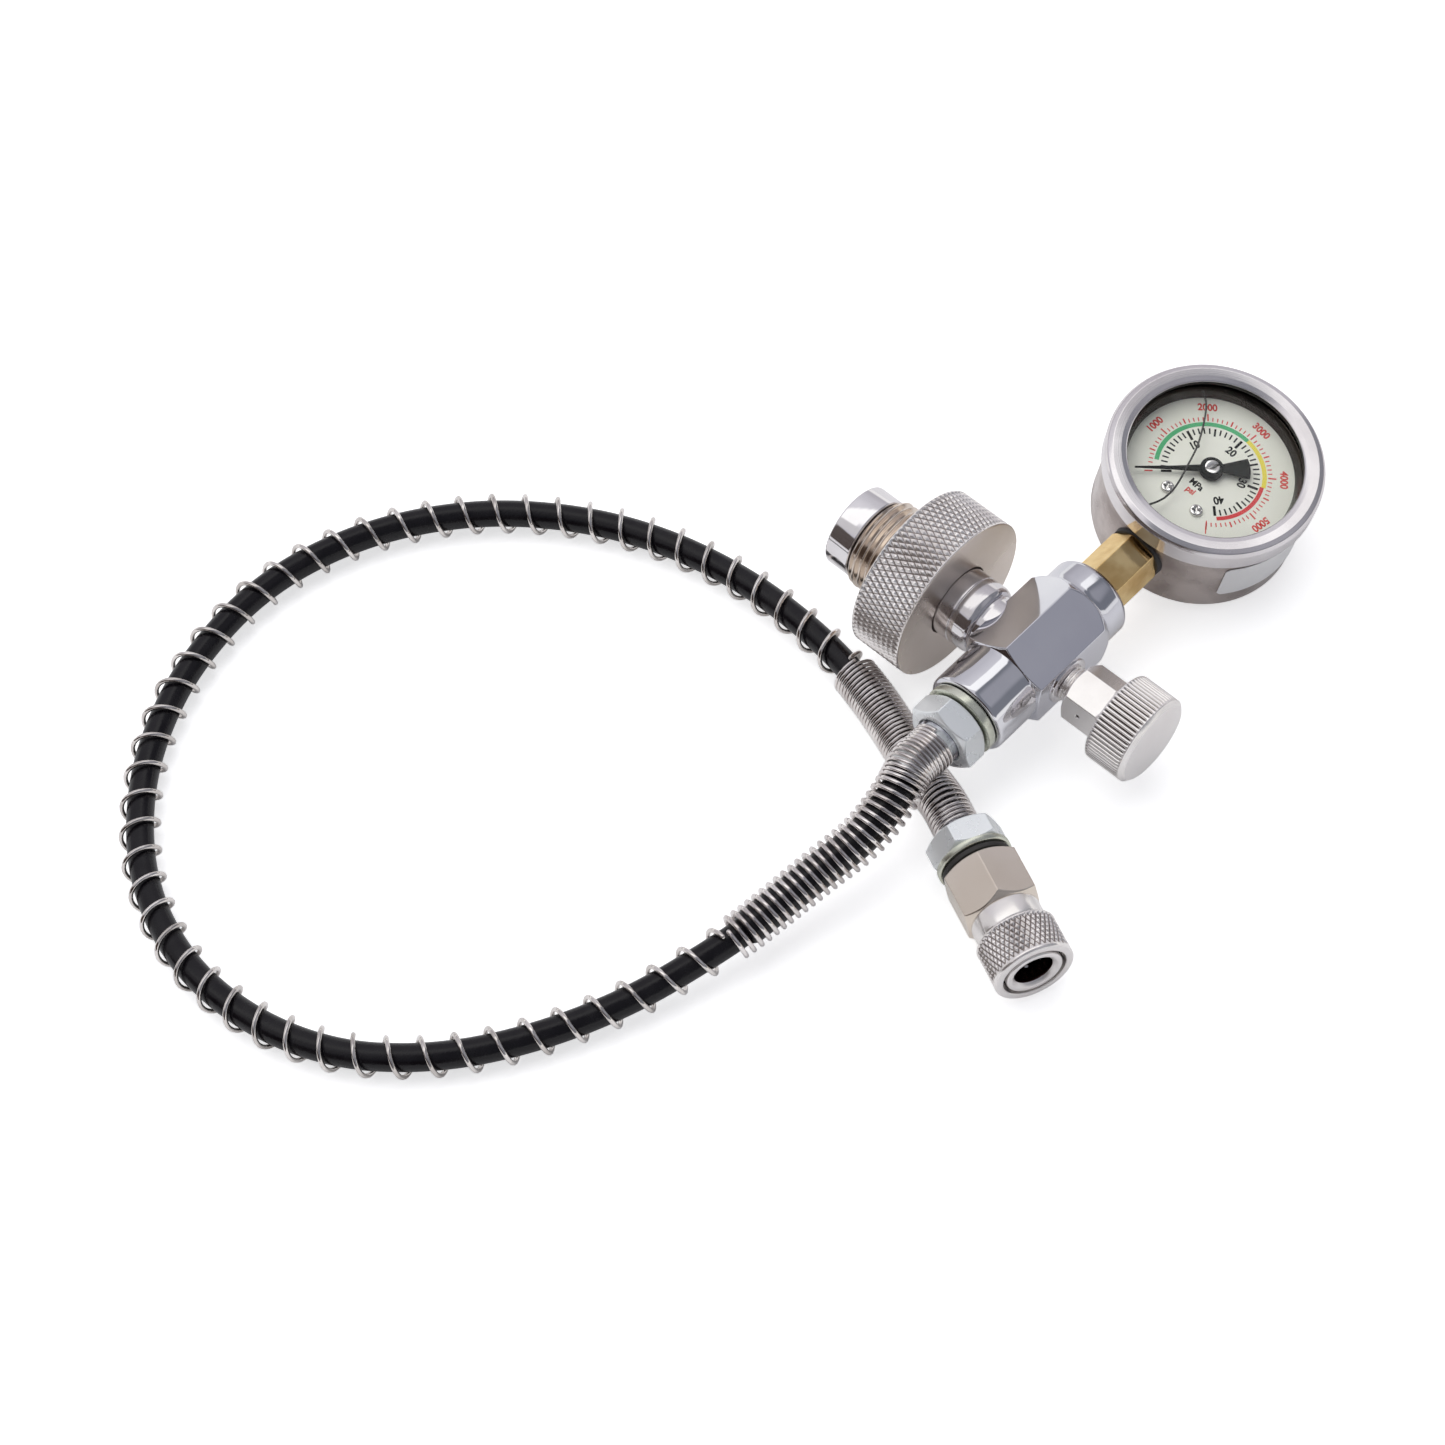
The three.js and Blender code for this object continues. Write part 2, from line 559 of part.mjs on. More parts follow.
function addGauge() {
  add(gauge, 'gauge_case', makeGaugeCase(), stainless);
  add(gauge, 'gauge_bezel', makeBezel(), stainless);
  const gasketStart = caseRim + gap;
  const lensStart = gasketStart + gasketThickness + gap;
  const lensRadius = caseRadius - 0.3;
  add(gauge, 'lens_gasket', alongZ(ring(gasketStart, gasketStart + gasketThickness,
    lensRadius - gasketWidth, lensRadius, 24)), blackRubber);
  add(gauge, 'gauge_lens', alongZ(rod(lensStart, lensStart + lensThickness, lensRadius,
    turnedSides)), clearPlastic);
  const screwPlaces = [[-10.4, 4.3], [-10.4, -4.3]];
  add(gauge, 'gauge_dial', plate(new THREE.Shape().absarc(0, 0, dialRadius, 0, 2 * Math.PI),
    dialFront - dialThickness, dialThickness, [[0, 0, 1.2], ...screwPlaces.map((p) => [...p, 1])]),
  dialPaint);
  screwPlaces.forEach(([x, y], i) => {
    const screw = alongZ(turned([[-3.2 + gap, 0], [-3.2 + gap, 0.7], [dialFront + gap / 2, 0.7],
      [dialFront + gap / 2, 1.5], [dialFront + 0.75, 1.2], [dialFront + 0.75, 0]], 14));
    add(gauge, `dial_screw_${i + 1}`, screw.translate(x, y, 0), stainless);
  });
  const needle = add(gauge, 'gauge_needle', makeNeedle(), blackPaint);
  needle.rotation.z = rad(sweepDeg / 2);
  add(gauge, 'gauge_socket', makeSocket(), brass);
  add(gauge, 'stem_gasket', alongX(ring(-caseRadius - 0.2, -caseRadius + 1.1, stemHoleRadius - 0.7,
    stemHoleRadius - 0.25, smallSides)), blackRubber);
  add(gauge, 'fill_plug', alongX(turned([[caseRadius - 2.2, 0], [caseRadius - 2.2, fillPlugRadius],
    [caseRadius + gap, fillPlugRadius], [caseRadius + gap, fillPlugRadius + 1.2],
    [caseRadius + 1.2, fillPlugRadius + 1], [caseRadius + 1.2, 0]], smallSides)), blackRubber);
  const labelArc = rad(labelTurnEnd - labelTurnStart);
  const labelMiddle = rad((labelTurnStart + labelTurnEnd) / 2);
  const labelShape = new THREE.Shape();
  labelShape.absarc(0, 0, caseRadius + gap, labelMiddle - labelArc / 2, labelMiddle + labelArc / 2);
  labelShape.absarc(0, 0, caseRadius + gap - 0.12, labelMiddle + labelArc / 2,
    labelMiddle - labelArc / 2, true);
  add(gauge, 'case_label', plate(labelShape, labelLow, labelHeight), whiteLabel);
  addMovement();
}

// ---------------------------------------------------------------- hose end at the body
const nutStart = hoseCollarEnd - sealThickness - 2 * gap;
const nutEnd = nutStart - nutLength;

// nut seen from its hose side: chamfered, with a shallow recess for the spring
function makeNut(acrossFlats, length, turnDeg) {
  return cut(chamferedHex(0, length, acrossFlats, turnDeg, 1.3),
    rod(-1, 1.2, ferruleFlangeRadius + gap), rod(0, length + 1, 1.6, 12));
}

function addBodyEnd() {
  add(valve, 'bonded_seal_ring', alongX(ring(hoseCollarEnd - gap - sealThickness,
    hoseCollarEnd - gap, 7.2, sealRadius, ringSides)), zinc);
  add(valve, 'bonded_seal_rubber', alongX(ring(hoseCollarEnd - gap - sealThickness,
    hoseCollarEnd - gap, hosePortRadius + 0.4, 6.8, ringSides)), blackRubber);
  const nut = alongX(makeNut(nutAcrossFlats, nutLength, -barTurnDeg - nutTurnDeg))
    .translate(nutEnd, 0, 0);
  const spigot = alongX(turned([[nutStart - 1, 0], [nutStart - 1, hosePortRadius - gap],
    [hoseCollarEnd + hosePortDepth - 2, hosePortRadius - gap],
    [hoseCollarEnd + hosePortDepth - 2, 0]], smallSides));
  add(valve, 'hose_nut_body_end', cut(join(nut, spigot),
    alongX(rod(nutEnd - 1, hoseCollarEnd + hosePortDepth, 1.6, 12))), zinc);
}

// ---------------------------------------------------------------- quick coupler
function makeCouplerBody() {
  const hexStart = couplerSealEnd + gap;
  const shell = join(
    chamferedHex(hexStart, couplerHexEnd, couplerHexAcrossFlats, couplerHexTurnDeg, 1),
    turned([[couplerHexEnd - 1, 0], [couplerHexEnd - 1, couplerCollarRadius],
      [couplerCollarEnd - 0.4, couplerCollarRadius], [couplerCollarEnd, couplerCollarRadius - 0.4],
      [couplerCollarEnd, couplerNoseRadius], [couplerFace - 0.5, couplerNoseRadius],
      [couplerFace, couplerNoseRadius - 0.5], [couplerFace, 0]], ringSides),
  );
  const bore = turned([[couplerBoreEnd, 0], [couplerBoreEnd, couplerBoreRadius],
    [couplerFace - 0.8, couplerBoreRadius], [couplerFace + 0.4, couplerBoreRadius + 1],
    [couplerFace + 0.4, 0]], ringSides);
  const passage = rod(hexStart - 1, couplerBoreEnd + 1, 2);
  const threadPort = rod(hexStart - 1, hexStart + 7, hosePortRadius);
  const sealGroove = ring(29.3, 31.1, couplerBoreRadius - 0.5, couplerBoreRadius + 1.2, smallSides);
  const ballHoles = [];
  for (let i = 0; i < ballCount; i += 1) {
    ballHoles.push(rod(2, couplerNoseRadius + 1, ballRadius + 0.25, 10).rotateX(Math.PI / 2)
      .rotateY(i * 2 * Math.PI / ballCount).translate(0, ballPlace, 0));
  }
  return cut(shell, bore, passage, threadPort, sealGroove, ...ballHoles);
}

function makeSleeve() {
  const start = couplerCollarEnd + gap;
  const edge = 0.8;
  return turned([
    [start, couplerCollarRadius + gap], [start, sleeveRadius - 0.4], [start + 0.4, sleeveRadius],
    [couplerFace - edge, sleeveRadius], [couplerFace, sleeveRadius - edge],
    [couplerFace, sleeveOpening], [sleeveLandEnd, sleeveOpening],
    [sleeveLandEnd, couplerNoseRadius + gap], [sleeveLandStart, couplerNoseRadius + gap],
    [sleeveLandStart, couplerCollarRadius + gap], [start, couplerCollarRadius + gap]], ringSides);
}

function addCoupler() {
  const nut = join(makeNut(couplerNutAcrossFlats, couplerNutLength, couplerNutTurnDeg),
    turned([[couplerNutLength - 0.5, 0], [couplerNutLength - 0.5, couplerFlangeRadius],
      [couplerFlangeEnd, couplerFlangeRadius], [couplerFlangeEnd, hosePortRadius - gap],
      [couplerSealEnd + gap + 6, hosePortRadius - gap], [couplerSealEnd + gap + 6, 0]], ringSides));
  add(coupler, 'hose_nut_coupler_end', cut(nut, rod(-1, couplerSealEnd + gap + 7, 1.6, 12)),
    zinc, true);
  add(coupler, 'coupler_seal', ring(couplerFlangeEnd + gap, couplerSealEnd, hosePortRadius + 0.4,
    couplerSealRadius, ringSides), blackRubber, true);
  add(coupler, 'coupler_body', makeCouplerBody(), nickel, true);
  add(coupler, 'coupler_sleeve', makeSleeve(), nickel, true);
  add(coupler, 'sleeve_spring', ring(couplerCollarEnd + gap, sleeveLandStart - gap,
    couplerNoseRadius + gap, couplerCollarRadius - 0.3, ringSides), springSteel, true);
  add(coupler, 'sleeve_stop_ring', ring(sleeveLandEnd + gap, sleeveLandEnd + gap + 0.8,
    couplerNoseRadius + 0.2, sleeveOpening - 0.35, ringSides), springSteel, true);
  add(coupler, 'bore_o_ring', wireRing(30.2, couplerBoreRadius + 0.3, 0.6, 14), blackRubber, true);
  for (let i = 0; i < ballCount; i += 1) {
    const turn = i * 2 * Math.PI / ballCount;
    const ball = new THREE.SphereGeometry(ballRadius, 8, 6);
    ball.translate(ballRing * Math.sin(turn), ballPlace, ballRing * Math.cos(turn));
    add(coupler, `locking_ball_${i + 1}`, ball, stainless, true);
  }
}

// ---------------------------------------------------------------- where everything lies
// pitch at which the lowest points of the handwheel's rim and the gauge's back are level
function settlePitch() {
  const lean = rad(rollDeg + gaugeTurnDeg);
  const roll = rad(rollDeg);
  const rimLow = (wheelStart + wheelChamfer) * Math.sin(roll) - wheelRadius * Math.cos(roll);
  const edgeRadius = caseRadius - caseFillet;
  const edgeBack = (caseBack - caseFillet) * Math.cos(lean);
  const gaugeLow = (pitch) => -gaugeX * Math.sin(pitch)
    - edgeRadius * Math.hypot(Math.sin(pitch), Math.sin(lean) * Math.cos(pitch))
    - edgeBack * Math.cos(pitch) - caseFillet;
  let low = -0.2;
  let high = 0.2;
  for (let i = 0; i < 40; i += 1) {
    const middle = (low + high) / 2;
    if (gaugeLow(middle) < rimLow * Math.cos(middle)) high = middle;
    else low = middle;
  }
  return { pitch: low, height: -rimLow * Math.cos(low) };
}

const { pitch, height } = settlePitch();
const lowSide = Math.atan2(Math.sin(pitch), Math.sin(rad(rollDeg + gaugeTurnDeg)));

add(valve, 'valve_body', makeValveBody(), chrome);
addConnector();
addBleedValve();
addGauge();
addBodyEnd();
addCoupler();

gauge.position.set(gaugeX, 0, 0);
gauge.rotation.set(rad(gaugeTurnDeg), 0, 0);
valve.add(gauge);
valve.position.set(0, 0, height);
valve.rotation.set(rad(rollDeg), pitch, 0, 'YXZ');
const couplerTilt = rad(couplerTiltDeg);
coupler.position.set(couplerStart[0], couplerStart[1],
  couplerHexAcrossFlats / Math.sqrt(3) * Math.cos(couplerTilt)
  - (couplerSealEnd + gap) * Math.sin(couplerTilt));
coupler.rotation.set(couplerTilt, 0, rad(couplerAngleDeg - 90), 'ZXY');
object.add(valve, coupler);
object.updateMatrixWorld(true);

// ---------------------------------------------------------------- hose and its springs
// points out of each fitting, square to it, join the loose route
function hoseRoute() {
  const fromNut = (along) => new THREE.Vector3(along, 0, 0).applyMatrix4(valve.matrixWorld);
  const fromCoupler = (along) => new THREE.Vector3(0, along, 0).applyMatrix4(coupler.matrixWorld);
  const bodyStretch = [0, -5, -10].map((along) => fromNut(nutEnd + 1.2 - gap + along));
  const couplerStretch = [-10, -5, 0].map((along) => fromCoupler(1.2 - gap + along));
  const rise = fromNut(nutEnd).z - routeNutHeight;
  const loose = looseRoute.map(([x, y, z], i) => {
    const part = Math.min(1, (i + 1) / (carriedPoints + 1));
    return new THREE.Vector3(x, y, z + rise * (1 - part * part * (3 - 2 * part)));
  });
  return new THREE.CatmullRomCurve3([...bodyStretch, ...loose, ...couplerStretch], false,
    'centripetal');
}

const route = hoseRoute();
route.arcLengthDivisions = 2000;
const hoseLength = route.getLength();

// frames carried along the route without twist
function carriedFrames(samples) {
  const frames = [];
  let across = new THREE.Vector3(0, 0, 1);
  for (let i = 0; i <= samples; i += 1) {
    const u = i / samples;
    const ahead = route.getTangentAt(u);
    across = across.clone().addScaledVector(ahead, -across.dot(ahead)).normalize();
    frames.push({ centre: route.getPointAt(u), across, side: ahead.clone().cross(across) });
  }
  return (length) => {
    const place = Math.min(samples, Math.max(0, length / hoseLength * samples));
    const index = Math.min(samples - 1, Math.floor(place));
    const part = place - index;
    const [a, b] = [frames[index], frames[index + 1]];
    return {
      centre: a.centre.clone().lerp(b.centre, part),
      across: a.across.clone().lerp(b.across, part).normalize(),
      side: a.side.clone().lerp(b.side, part).normalize(),
    };
  };
}

const frameAt = carriedFrames(1200);

// closed skin over a list of equal rings, with both ends filled
function skin(rings) {
  const sides = rings[0].length;
  const points = rings.flat();
  const faces = [];
  for (let i = 0; i + 1 < rings.length; i += 1) {
    for (let k = 0; k < sides; k += 1) {
      const a = i * sides + k;
      const b = i * sides + (k + 1) % sides;
      faces.push(a, b, b + sides, a, b + sides, a + sides);
    }
  }
  const last = (rings.length - 1) * sides;
  for (let k = 1; k + 1 < sides; k += 1) {
    faces.push(0, k + 1, k, last, last + k, last + k + 1);
  }
  const geometry = new THREE.BufferGeometry().setFromPoints(points);
  geometry.setIndex(faces);
  return geometry;
}

// wire of a coil round the hose; every entry of the path gives the length along the hose,
// the coil radius and the turn
function coilWire(path, name) {
  const centres = path.map(({ length, radius, turn }) => {
    const { centre, across, side } = frameAt(length);
    return centre.addScaledVector(across, radius * Math.cos(turn))
      .addScaledVector(side, radius * Math.sin(turn));
  });
  const rings = centres.map((centre, i) => {
    const before = centres[Math.max(0, i - 1)];
    const after = centres[Math.min(centres.length - 1, i + 1)];
    const ahead = after.clone().sub(before).normalize();
    const outward = centre.clone().sub(frameAt(path[i].length).centre);
    outward.addScaledVector(ahead, -outward.dot(ahead)).normalize();
    const along = ahead.clone().cross(outward);
    return Array.from({ length: wireSides }, (_, k) => {
      const turn = (k + 0.5) * 2 * Math.PI / wireSides;
      return centre.clone().addScaledVector(outward, wireRadius * Math.cos(turn))
        .addScaledVector(along, wireRadius * Math.sin(turn));
    });
  });
  printLeastGap(centres, name);
  return skin(rings);
}

// least gap of a coil's wire to itself, on points between its steps
function printLeastGap(centres, name) {
  const fine = [];
  for (let i = 0; i + 1 < centres.length; i += 1) {
    for (let k = 0; k < 3; k += 1) fine.push(centres[i].clone().lerp(centres[i + 1], k / 3));
  }
  const apart = Math.floor(stepsPerTurn * 3 * 0.6);
  const reach = stepsPerTurn * 3 * 2;
  let least = Infinity;
  for (let i = 0; i < fine.length; i += 1) {
    for (let j = i + apart; j < Math.min(fine.length, i + reach); j += 1) {
      least = Math.min(least, fine[i].distanceTo(fine[j]));
    }
  }
  console.log(`${name}: least gap of the wire to itself ${(least - 2 * wireRadius).toFixed(2)} mm`);
}

// a coil from one length along the hose to another; radii and pitches may vary
function coilPath(start, end, turns, radiusAt, spacingAt) {
  const steps = turns * stepsPerTurn;
  const weights = Array.from({ length: steps }, (_, i) => spacingAt((i + 0.5) / steps));
  const total = weights.reduce((sum, weight) => sum + weight, 0);
  const path = [];
  let covered = 0;
  for (let i = 0; i <= steps; i += 1) {
    const share = covered / total;
    path.push({ length: start + (end - start) * share, radius: radiusAt(share),
      turn: 2 * Math.PI * i / stepsPerTurn });
    covered += weights[i] ?? 0;
  }
  return path;
}

function addHose() {
  const steps = 60;
  const section = new THREE.Shape(Array.from({ length: hoseSides }, (_, i) => {
    const turn = (i + 0.5) * 2 * Math.PI / hoseSides;
    return new THREE.Vector2(hoseRadius * Math.cos(turn), hoseRadius * Math.sin(turn));
  }));
  add(object, 'hose', new THREE.ExtrudeGeometry(section,
    { extrudePath: route, steps, bevelEnabled: false }), hoseBlack, true);

  const guardStart = wireRadius + gap + 1.2;
  const guardEnd = guardStart + guardLength;
  const couplerGuardEnd = hoseLength - guardStart;
  const couplerGuardStart = couplerGuardEnd - couplerGuardLength;
  const springGap = wireRadius * 2 + 0.6;
  const smooth = (t) => t * t * (3 - 2 * t);
  add(object, 'guard_spring_body_end', coilWire(coilPath(guardStart, guardEnd, guardTurns,
    (t) => guardSpringRadius + (guardTipRadius - guardSpringRadius) * smooth(t),
    (t) => 0.85 + 0.3 * Math.sin(Math.PI * t)), 'guard spring, body end'), springSteel, true);
  add(object, 'guard_spring_coupler_end', coilWire(coilPath(couplerGuardStart, couplerGuardEnd,
    couplerGuardTurns, () => couplerGuardRadius, () => 1), 'guard spring, coupler end'),
  springSteel, true);
  add(object, 'hose_spring', coilWire(coilPath(guardEnd + springGap, couplerGuardStart - springGap,
    openTurns, () => openSpringRadius, () => 1), 'open spring'), springSteel, true);
}

// crimped sleeve over the end of the hose, with a flange in the nut's recess
function makeFerrule() {
  const start = 0.2;
  const inner = hoseRadius + gap * 1.3;
  return turned([
    [start, inner], [start, ferruleFlangeRadius], [start + 0.6, ferruleFlangeRadius],
    [start + 0.6, ferruleRadius], [ferruleLength - 0.4, ferruleRadius],
    [ferruleLength, ferruleRadius - 0.2], [ferruleLength, inner], [start, inner],
  ].map(([along, r]) => [-along, r]), smallSides);
}

addHose();
add(valve, 'hose_ferrule_body_end', alongX(makeFerrule()).translate(nutEnd + 1.2 - gap, 0, 0),
  chrome);
add(coupler, 'hose_ferrule_coupler_end', makeFerrule().translate(0, 1.2 - gap, 0), chrome, true);

// the frame's origin is under the middle of the valve and gauge, on the table
const box = new THREE.Box3();
object.updateMatrixWorld(true);
object.traverse((piece) => {
  if (piece.isMesh && !cordPieces.includes(piece)) box.expandByObject(piece, true);
});
const middle = box.getCenter(new THREE.Vector3());
object.position.set(-middle.x, -middle.y, -box.min.z);
console.log(`cross axis at ${(-middle.x).toFixed(3)} ${(-middle.y).toFixed(3)} `
  + `${(height - box.min.z).toFixed(3)}, pitch ${THREE.MathUtils.radToDeg(pitch).toFixed(3)} deg, `
  + `hose ${hoseLength.toFixed(1)} mm`);

export default object;
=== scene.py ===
"""Looks of the filling adapter: hex-bar valve, handwheel connector, bleed knob, liquid-filled
gauge and a hose in open springs that ends in a quick coupler. Lengths are in millimetres in each
piece's own frame, and become metres when its mesh is made."""

import json
import math

import bmesh
import bpy
import numpy as np
from mathutils import Matrix, Vector


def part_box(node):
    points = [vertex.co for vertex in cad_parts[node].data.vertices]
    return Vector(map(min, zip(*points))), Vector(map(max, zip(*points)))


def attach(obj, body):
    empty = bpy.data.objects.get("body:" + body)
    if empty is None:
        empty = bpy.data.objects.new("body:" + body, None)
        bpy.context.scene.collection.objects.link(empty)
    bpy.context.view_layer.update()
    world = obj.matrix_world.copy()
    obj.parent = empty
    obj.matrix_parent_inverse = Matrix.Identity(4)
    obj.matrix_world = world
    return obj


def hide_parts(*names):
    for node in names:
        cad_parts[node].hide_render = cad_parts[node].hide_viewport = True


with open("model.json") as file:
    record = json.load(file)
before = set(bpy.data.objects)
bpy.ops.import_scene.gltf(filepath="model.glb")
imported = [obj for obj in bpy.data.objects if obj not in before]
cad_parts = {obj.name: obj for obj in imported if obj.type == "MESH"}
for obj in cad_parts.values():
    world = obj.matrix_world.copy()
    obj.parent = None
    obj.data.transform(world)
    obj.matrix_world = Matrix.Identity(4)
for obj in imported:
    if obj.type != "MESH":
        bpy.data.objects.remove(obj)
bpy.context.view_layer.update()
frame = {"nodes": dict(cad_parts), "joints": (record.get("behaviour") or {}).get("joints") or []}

MM = 0.001
rad = math.radians
FULL_TURN = 2 * math.pi

# ---- frames of the pieces
WHEEL_PIVOT = 28.7              # where the handwheel's joint sits along the cross axis
GAUGE_X = 61.7                  # gauge axis from the cross axis
SLEEVE_MIDDLE = 33.4            # middle of the coupler's sleeve along the coupler


def unit(vector):
    vector = np.array(vector, float)
    return vector / np.linalg.norm(vector)


def placement(x_axis, y_axis, z_axis, start):
    """Matrix of a frame from its three axes and its origin in millimetres."""
    matrix = np.eye(4)
    matrix[:3] = np.column_stack((x_axis, y_axis, z_axis, np.array(start) * MM))
    return Matrix(matrix.tolist())


joints = {joint["name"]: joint for joint in frame["joints"]}
cross_axis = unit(joints["handwheel_turn"]["axis"])
origin = np.array(joints["handwheel_turn"]["pos_m"]) / MM - WHEEL_PIVOT * cross_axis
dial_axis = -unit(joints["needle_sweep"]["axis"])
bar_axis = unit(np.cross(cross_axis, dial_axis))
VALVE = placement(bar_axis, cross_axis, np.cross(bar_axis, cross_axis), origin)
GAUGE = placement(bar_axis, np.cross(dial_axis, bar_axis), dial_axis,
                  origin + GAUGE_X * bar_axis)
coupler_axis = -unit(joints["sleeve_slide"]["axis"])
sleeve_low, sleeve_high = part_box("coupler_sleeve")
coupler_origin = np.array((sleeve_low + sleeve_high) / 2) / MM - SLEEVE_MIDDLE * coupler_axis
coupler_side = unit(np.cross(coupler_axis, (0, 0, 1)))
COUPLER = placement(coupler_side, coupler_axis, np.cross(coupler_side, coupler_axis),
                    coupler_origin)
TABLE = Matrix.Identity(4)


def on_table(matrix, point):
    """A point of a piece's frame in the row frame, in millimetres."""
    return np.array(matrix @ Vector([value * MM for value in point])) / MM


def add_object(name, data):
    made = bpy.data.objects.new(name, data)
    bpy.context.scene.collection.objects.link(made)
    return made


# ---- camera
CAMERA_AZIMUTH = rad(-39.699)
CAMERA_ELEVATION = rad(56.574)
CAMERA_ROLL = rad(-8.692)
CAMERA_DISTANCE = 800.0
CAMERA_AIM = np.array([-50.259 + origin[0], 50.72 + origin[1], 0.0])
SENSOR_WIDTH = 36.0
FOCAL_LENGTH = 86.09


def make_camera():
    turn, rise = CAMERA_AZIMUTH, CAMERA_ELEVATION
    level_right = np.array([math.cos(turn), math.sin(turn), 0.0])
    back = np.array([math.sin(turn) * math.cos(rise), -math.cos(turn) * math.cos(rise),
                     math.sin(rise)])
    upright = np.cross(back, level_right)
    right = math.cos(CAMERA_ROLL) * level_right + math.sin(CAMERA_ROLL) * upright
    up = math.cos(CAMERA_ROLL) * upright - math.sin(CAMERA_ROLL) * level_right
    data = bpy.data.cameras.new("camera")
    data.sensor_width, data.lens = SENSOR_WIDTH, FOCAL_LENGTH
    data.clip_start, data.clip_end = 0.05, 20.0
    camera = add_object("camera", data)
    camera.matrix_world = placement(right, up, back, CAMERA_AIM + CAMERA_DISTANCE * back)
    bpy.context.scene.camera = camera


make_camera()

# ---- shader nodes
MIX_FIRST, MIX_SECOND, MIX_RESULT = 6, 7, 2     # colour sockets of a mix node


def feed(tree, target, inputs):
    """Sets each input of a node, or links it when a socket is given."""
    for key, value in inputs.items():
        if isinstance(value, bpy.types.NodeSocket):
            tree.links.new(value, target.inputs[key])
        else:
            target.inputs[key].default_value = value


def node(tree, kind, inputs=None, **settings):
    """New shader node; its settings come first, because its inputs can depend on them."""
    made = tree.nodes.new("ShaderNode" + kind)
    for name, value in settings.items():
        setattr(made, name, value)
    feed(tree, made, inputs or {})
    return made


def calculate(tree, operation, *values):
    return node(tree, "Math", dict(enumerate(values)), operation=operation).outputs["Value"]


def mixed(tree, factor, first, second):
    """A colour between two colours."""
    mix = node(tree, "Mix", {"Factor": factor, MIX_FIRST: first, MIX_SECOND: second},
               data_type="RGBA")
    return mix.outputs[MIX_RESULT]


def spread(tree, value, low, high, to_low=0.0, to_high=1.0, **settings):
    """Maps a value from one range to another, held at both ends."""
    held = node(tree, "MapRange", {"Value": value, "From Min": low, "From Max": high,
                                   "To Min": to_low, "To Max": to_high}, **settings)
    return held.outputs["Result"]


def noise(tree, vector, scale, detail, roughness=0.5, **settings):
    texture = node(tree, "TexNoise", {"Vector": vector, "Scale": scale, "Detail": detail,
                                      "Roughness": roughness}, **settings)
    return texture.outputs["Fac"]


def new_group(name, inputs, outputs):
    """Empty node group; returns it, its input sockets and the node that takes its results."""
    group = bpy.data.node_groups.new(name, "ShaderNodeTree")
    for direction, sockets in (("INPUT", inputs), ("OUTPUT", outputs)):
        for label, kind in sockets.items():
            group.interface.new_socket(label, in_out=direction, socket_type="NodeSocket" + kind)
    return group, group.nodes.new("NodeGroupInput").outputs, group.nodes.new("NodeGroupOutput")


def cloudy_group():
    """Cloudy tone, a roughness that follows it and the height of fine handling marks."""
    group, given, result = new_group(
        "metal_surface",
        {"Coordinates": "Vector", "Cloud Scale": "Float", "Tone": "Color", "Dull Tone": "Color",
         "Roughness Low": "Float", "Roughness High": "Float", "Grain Scale": "Float"},
        {"Color": "Color", "Roughness": "Float", "Height": "Float"})
    cloud = noise(group, given["Coordinates"], given["Cloud Scale"], 4.0)
    share = spread(group, cloud, 0.35, 0.7)
    feed(group, result, {
        "Color": mixed(group, share, given["Tone"], given["Dull Tone"]),
        "Roughness": spread(group, share, 0.0, 1.0, given["Roughness Low"],
                            given["Roughness High"]),
        "Height": noise(group, given["Coordinates"], given["Grain Scale"], 2.0)})
    return group


def turning_marks_group():
    """Height of the fine rings left by a lathe, about one axis of the piece."""
    group, given, result = new_group(
        "turning_marks", {"Along": "Float", "Around": "Float", "Rings": "Float"},
        {"Height": "Float"})
    place = node(group, "CombineXYZ", {"X": given["Along"], "Y": given["Around"]})
    feed(group, result, {"Height": noise(group, place.outputs["Vector"], given["Rings"], 3.0,
                                         noise_dimensions="2D")})
    return group


# ---- materials
METAL_GRAIN = 900.0             # noise scales of the fine grain
COATING_GRAIN = 1500.0
BUMP_DISTANCE = 0.0001
cloudy = cloudy_group()
turning_marks = turning_marks_group()


def start_material(name):
    material = bpy.data.materials.new(name)
    material.use_nodes = True
    tree = material.node_tree
    return material, tree, tree.nodes["Principled BSDF"]


def cloudy_material(name, tone, dull, rough, cloud, grain, fixed):
    """Material with a cloudy tone; returns it, its tree, shader, coordinates and grain height."""
    material, tree, shader = start_material(name)
    place = node(tree, "TexCoord").outputs["Object"]
    surface = node(tree, "Group", {
        "Coordinates": place, "Cloud Scale": cloud, "Grain Scale": grain, "Tone": (*tone, 1),
        "Dull Tone": (*dull, 1), "Roughness Low": rough[0], "Roughness High": rough[1]},
        node_tree=cloudy).outputs
    feed(tree, shader, {"Base Color": surface["Color"], "Roughness": surface["Roughness"],
                        **fixed})
    return material, tree, shader, place, surface["Height"]


def add_bump(tree, shader, height, strength):
    bump = node(tree, "Bump", {"Strength": strength, "Distance": BUMP_DISTANCE,
                               "Height": height})
    feed(tree, shader, {"Normal": bump.outputs["Normal"]})


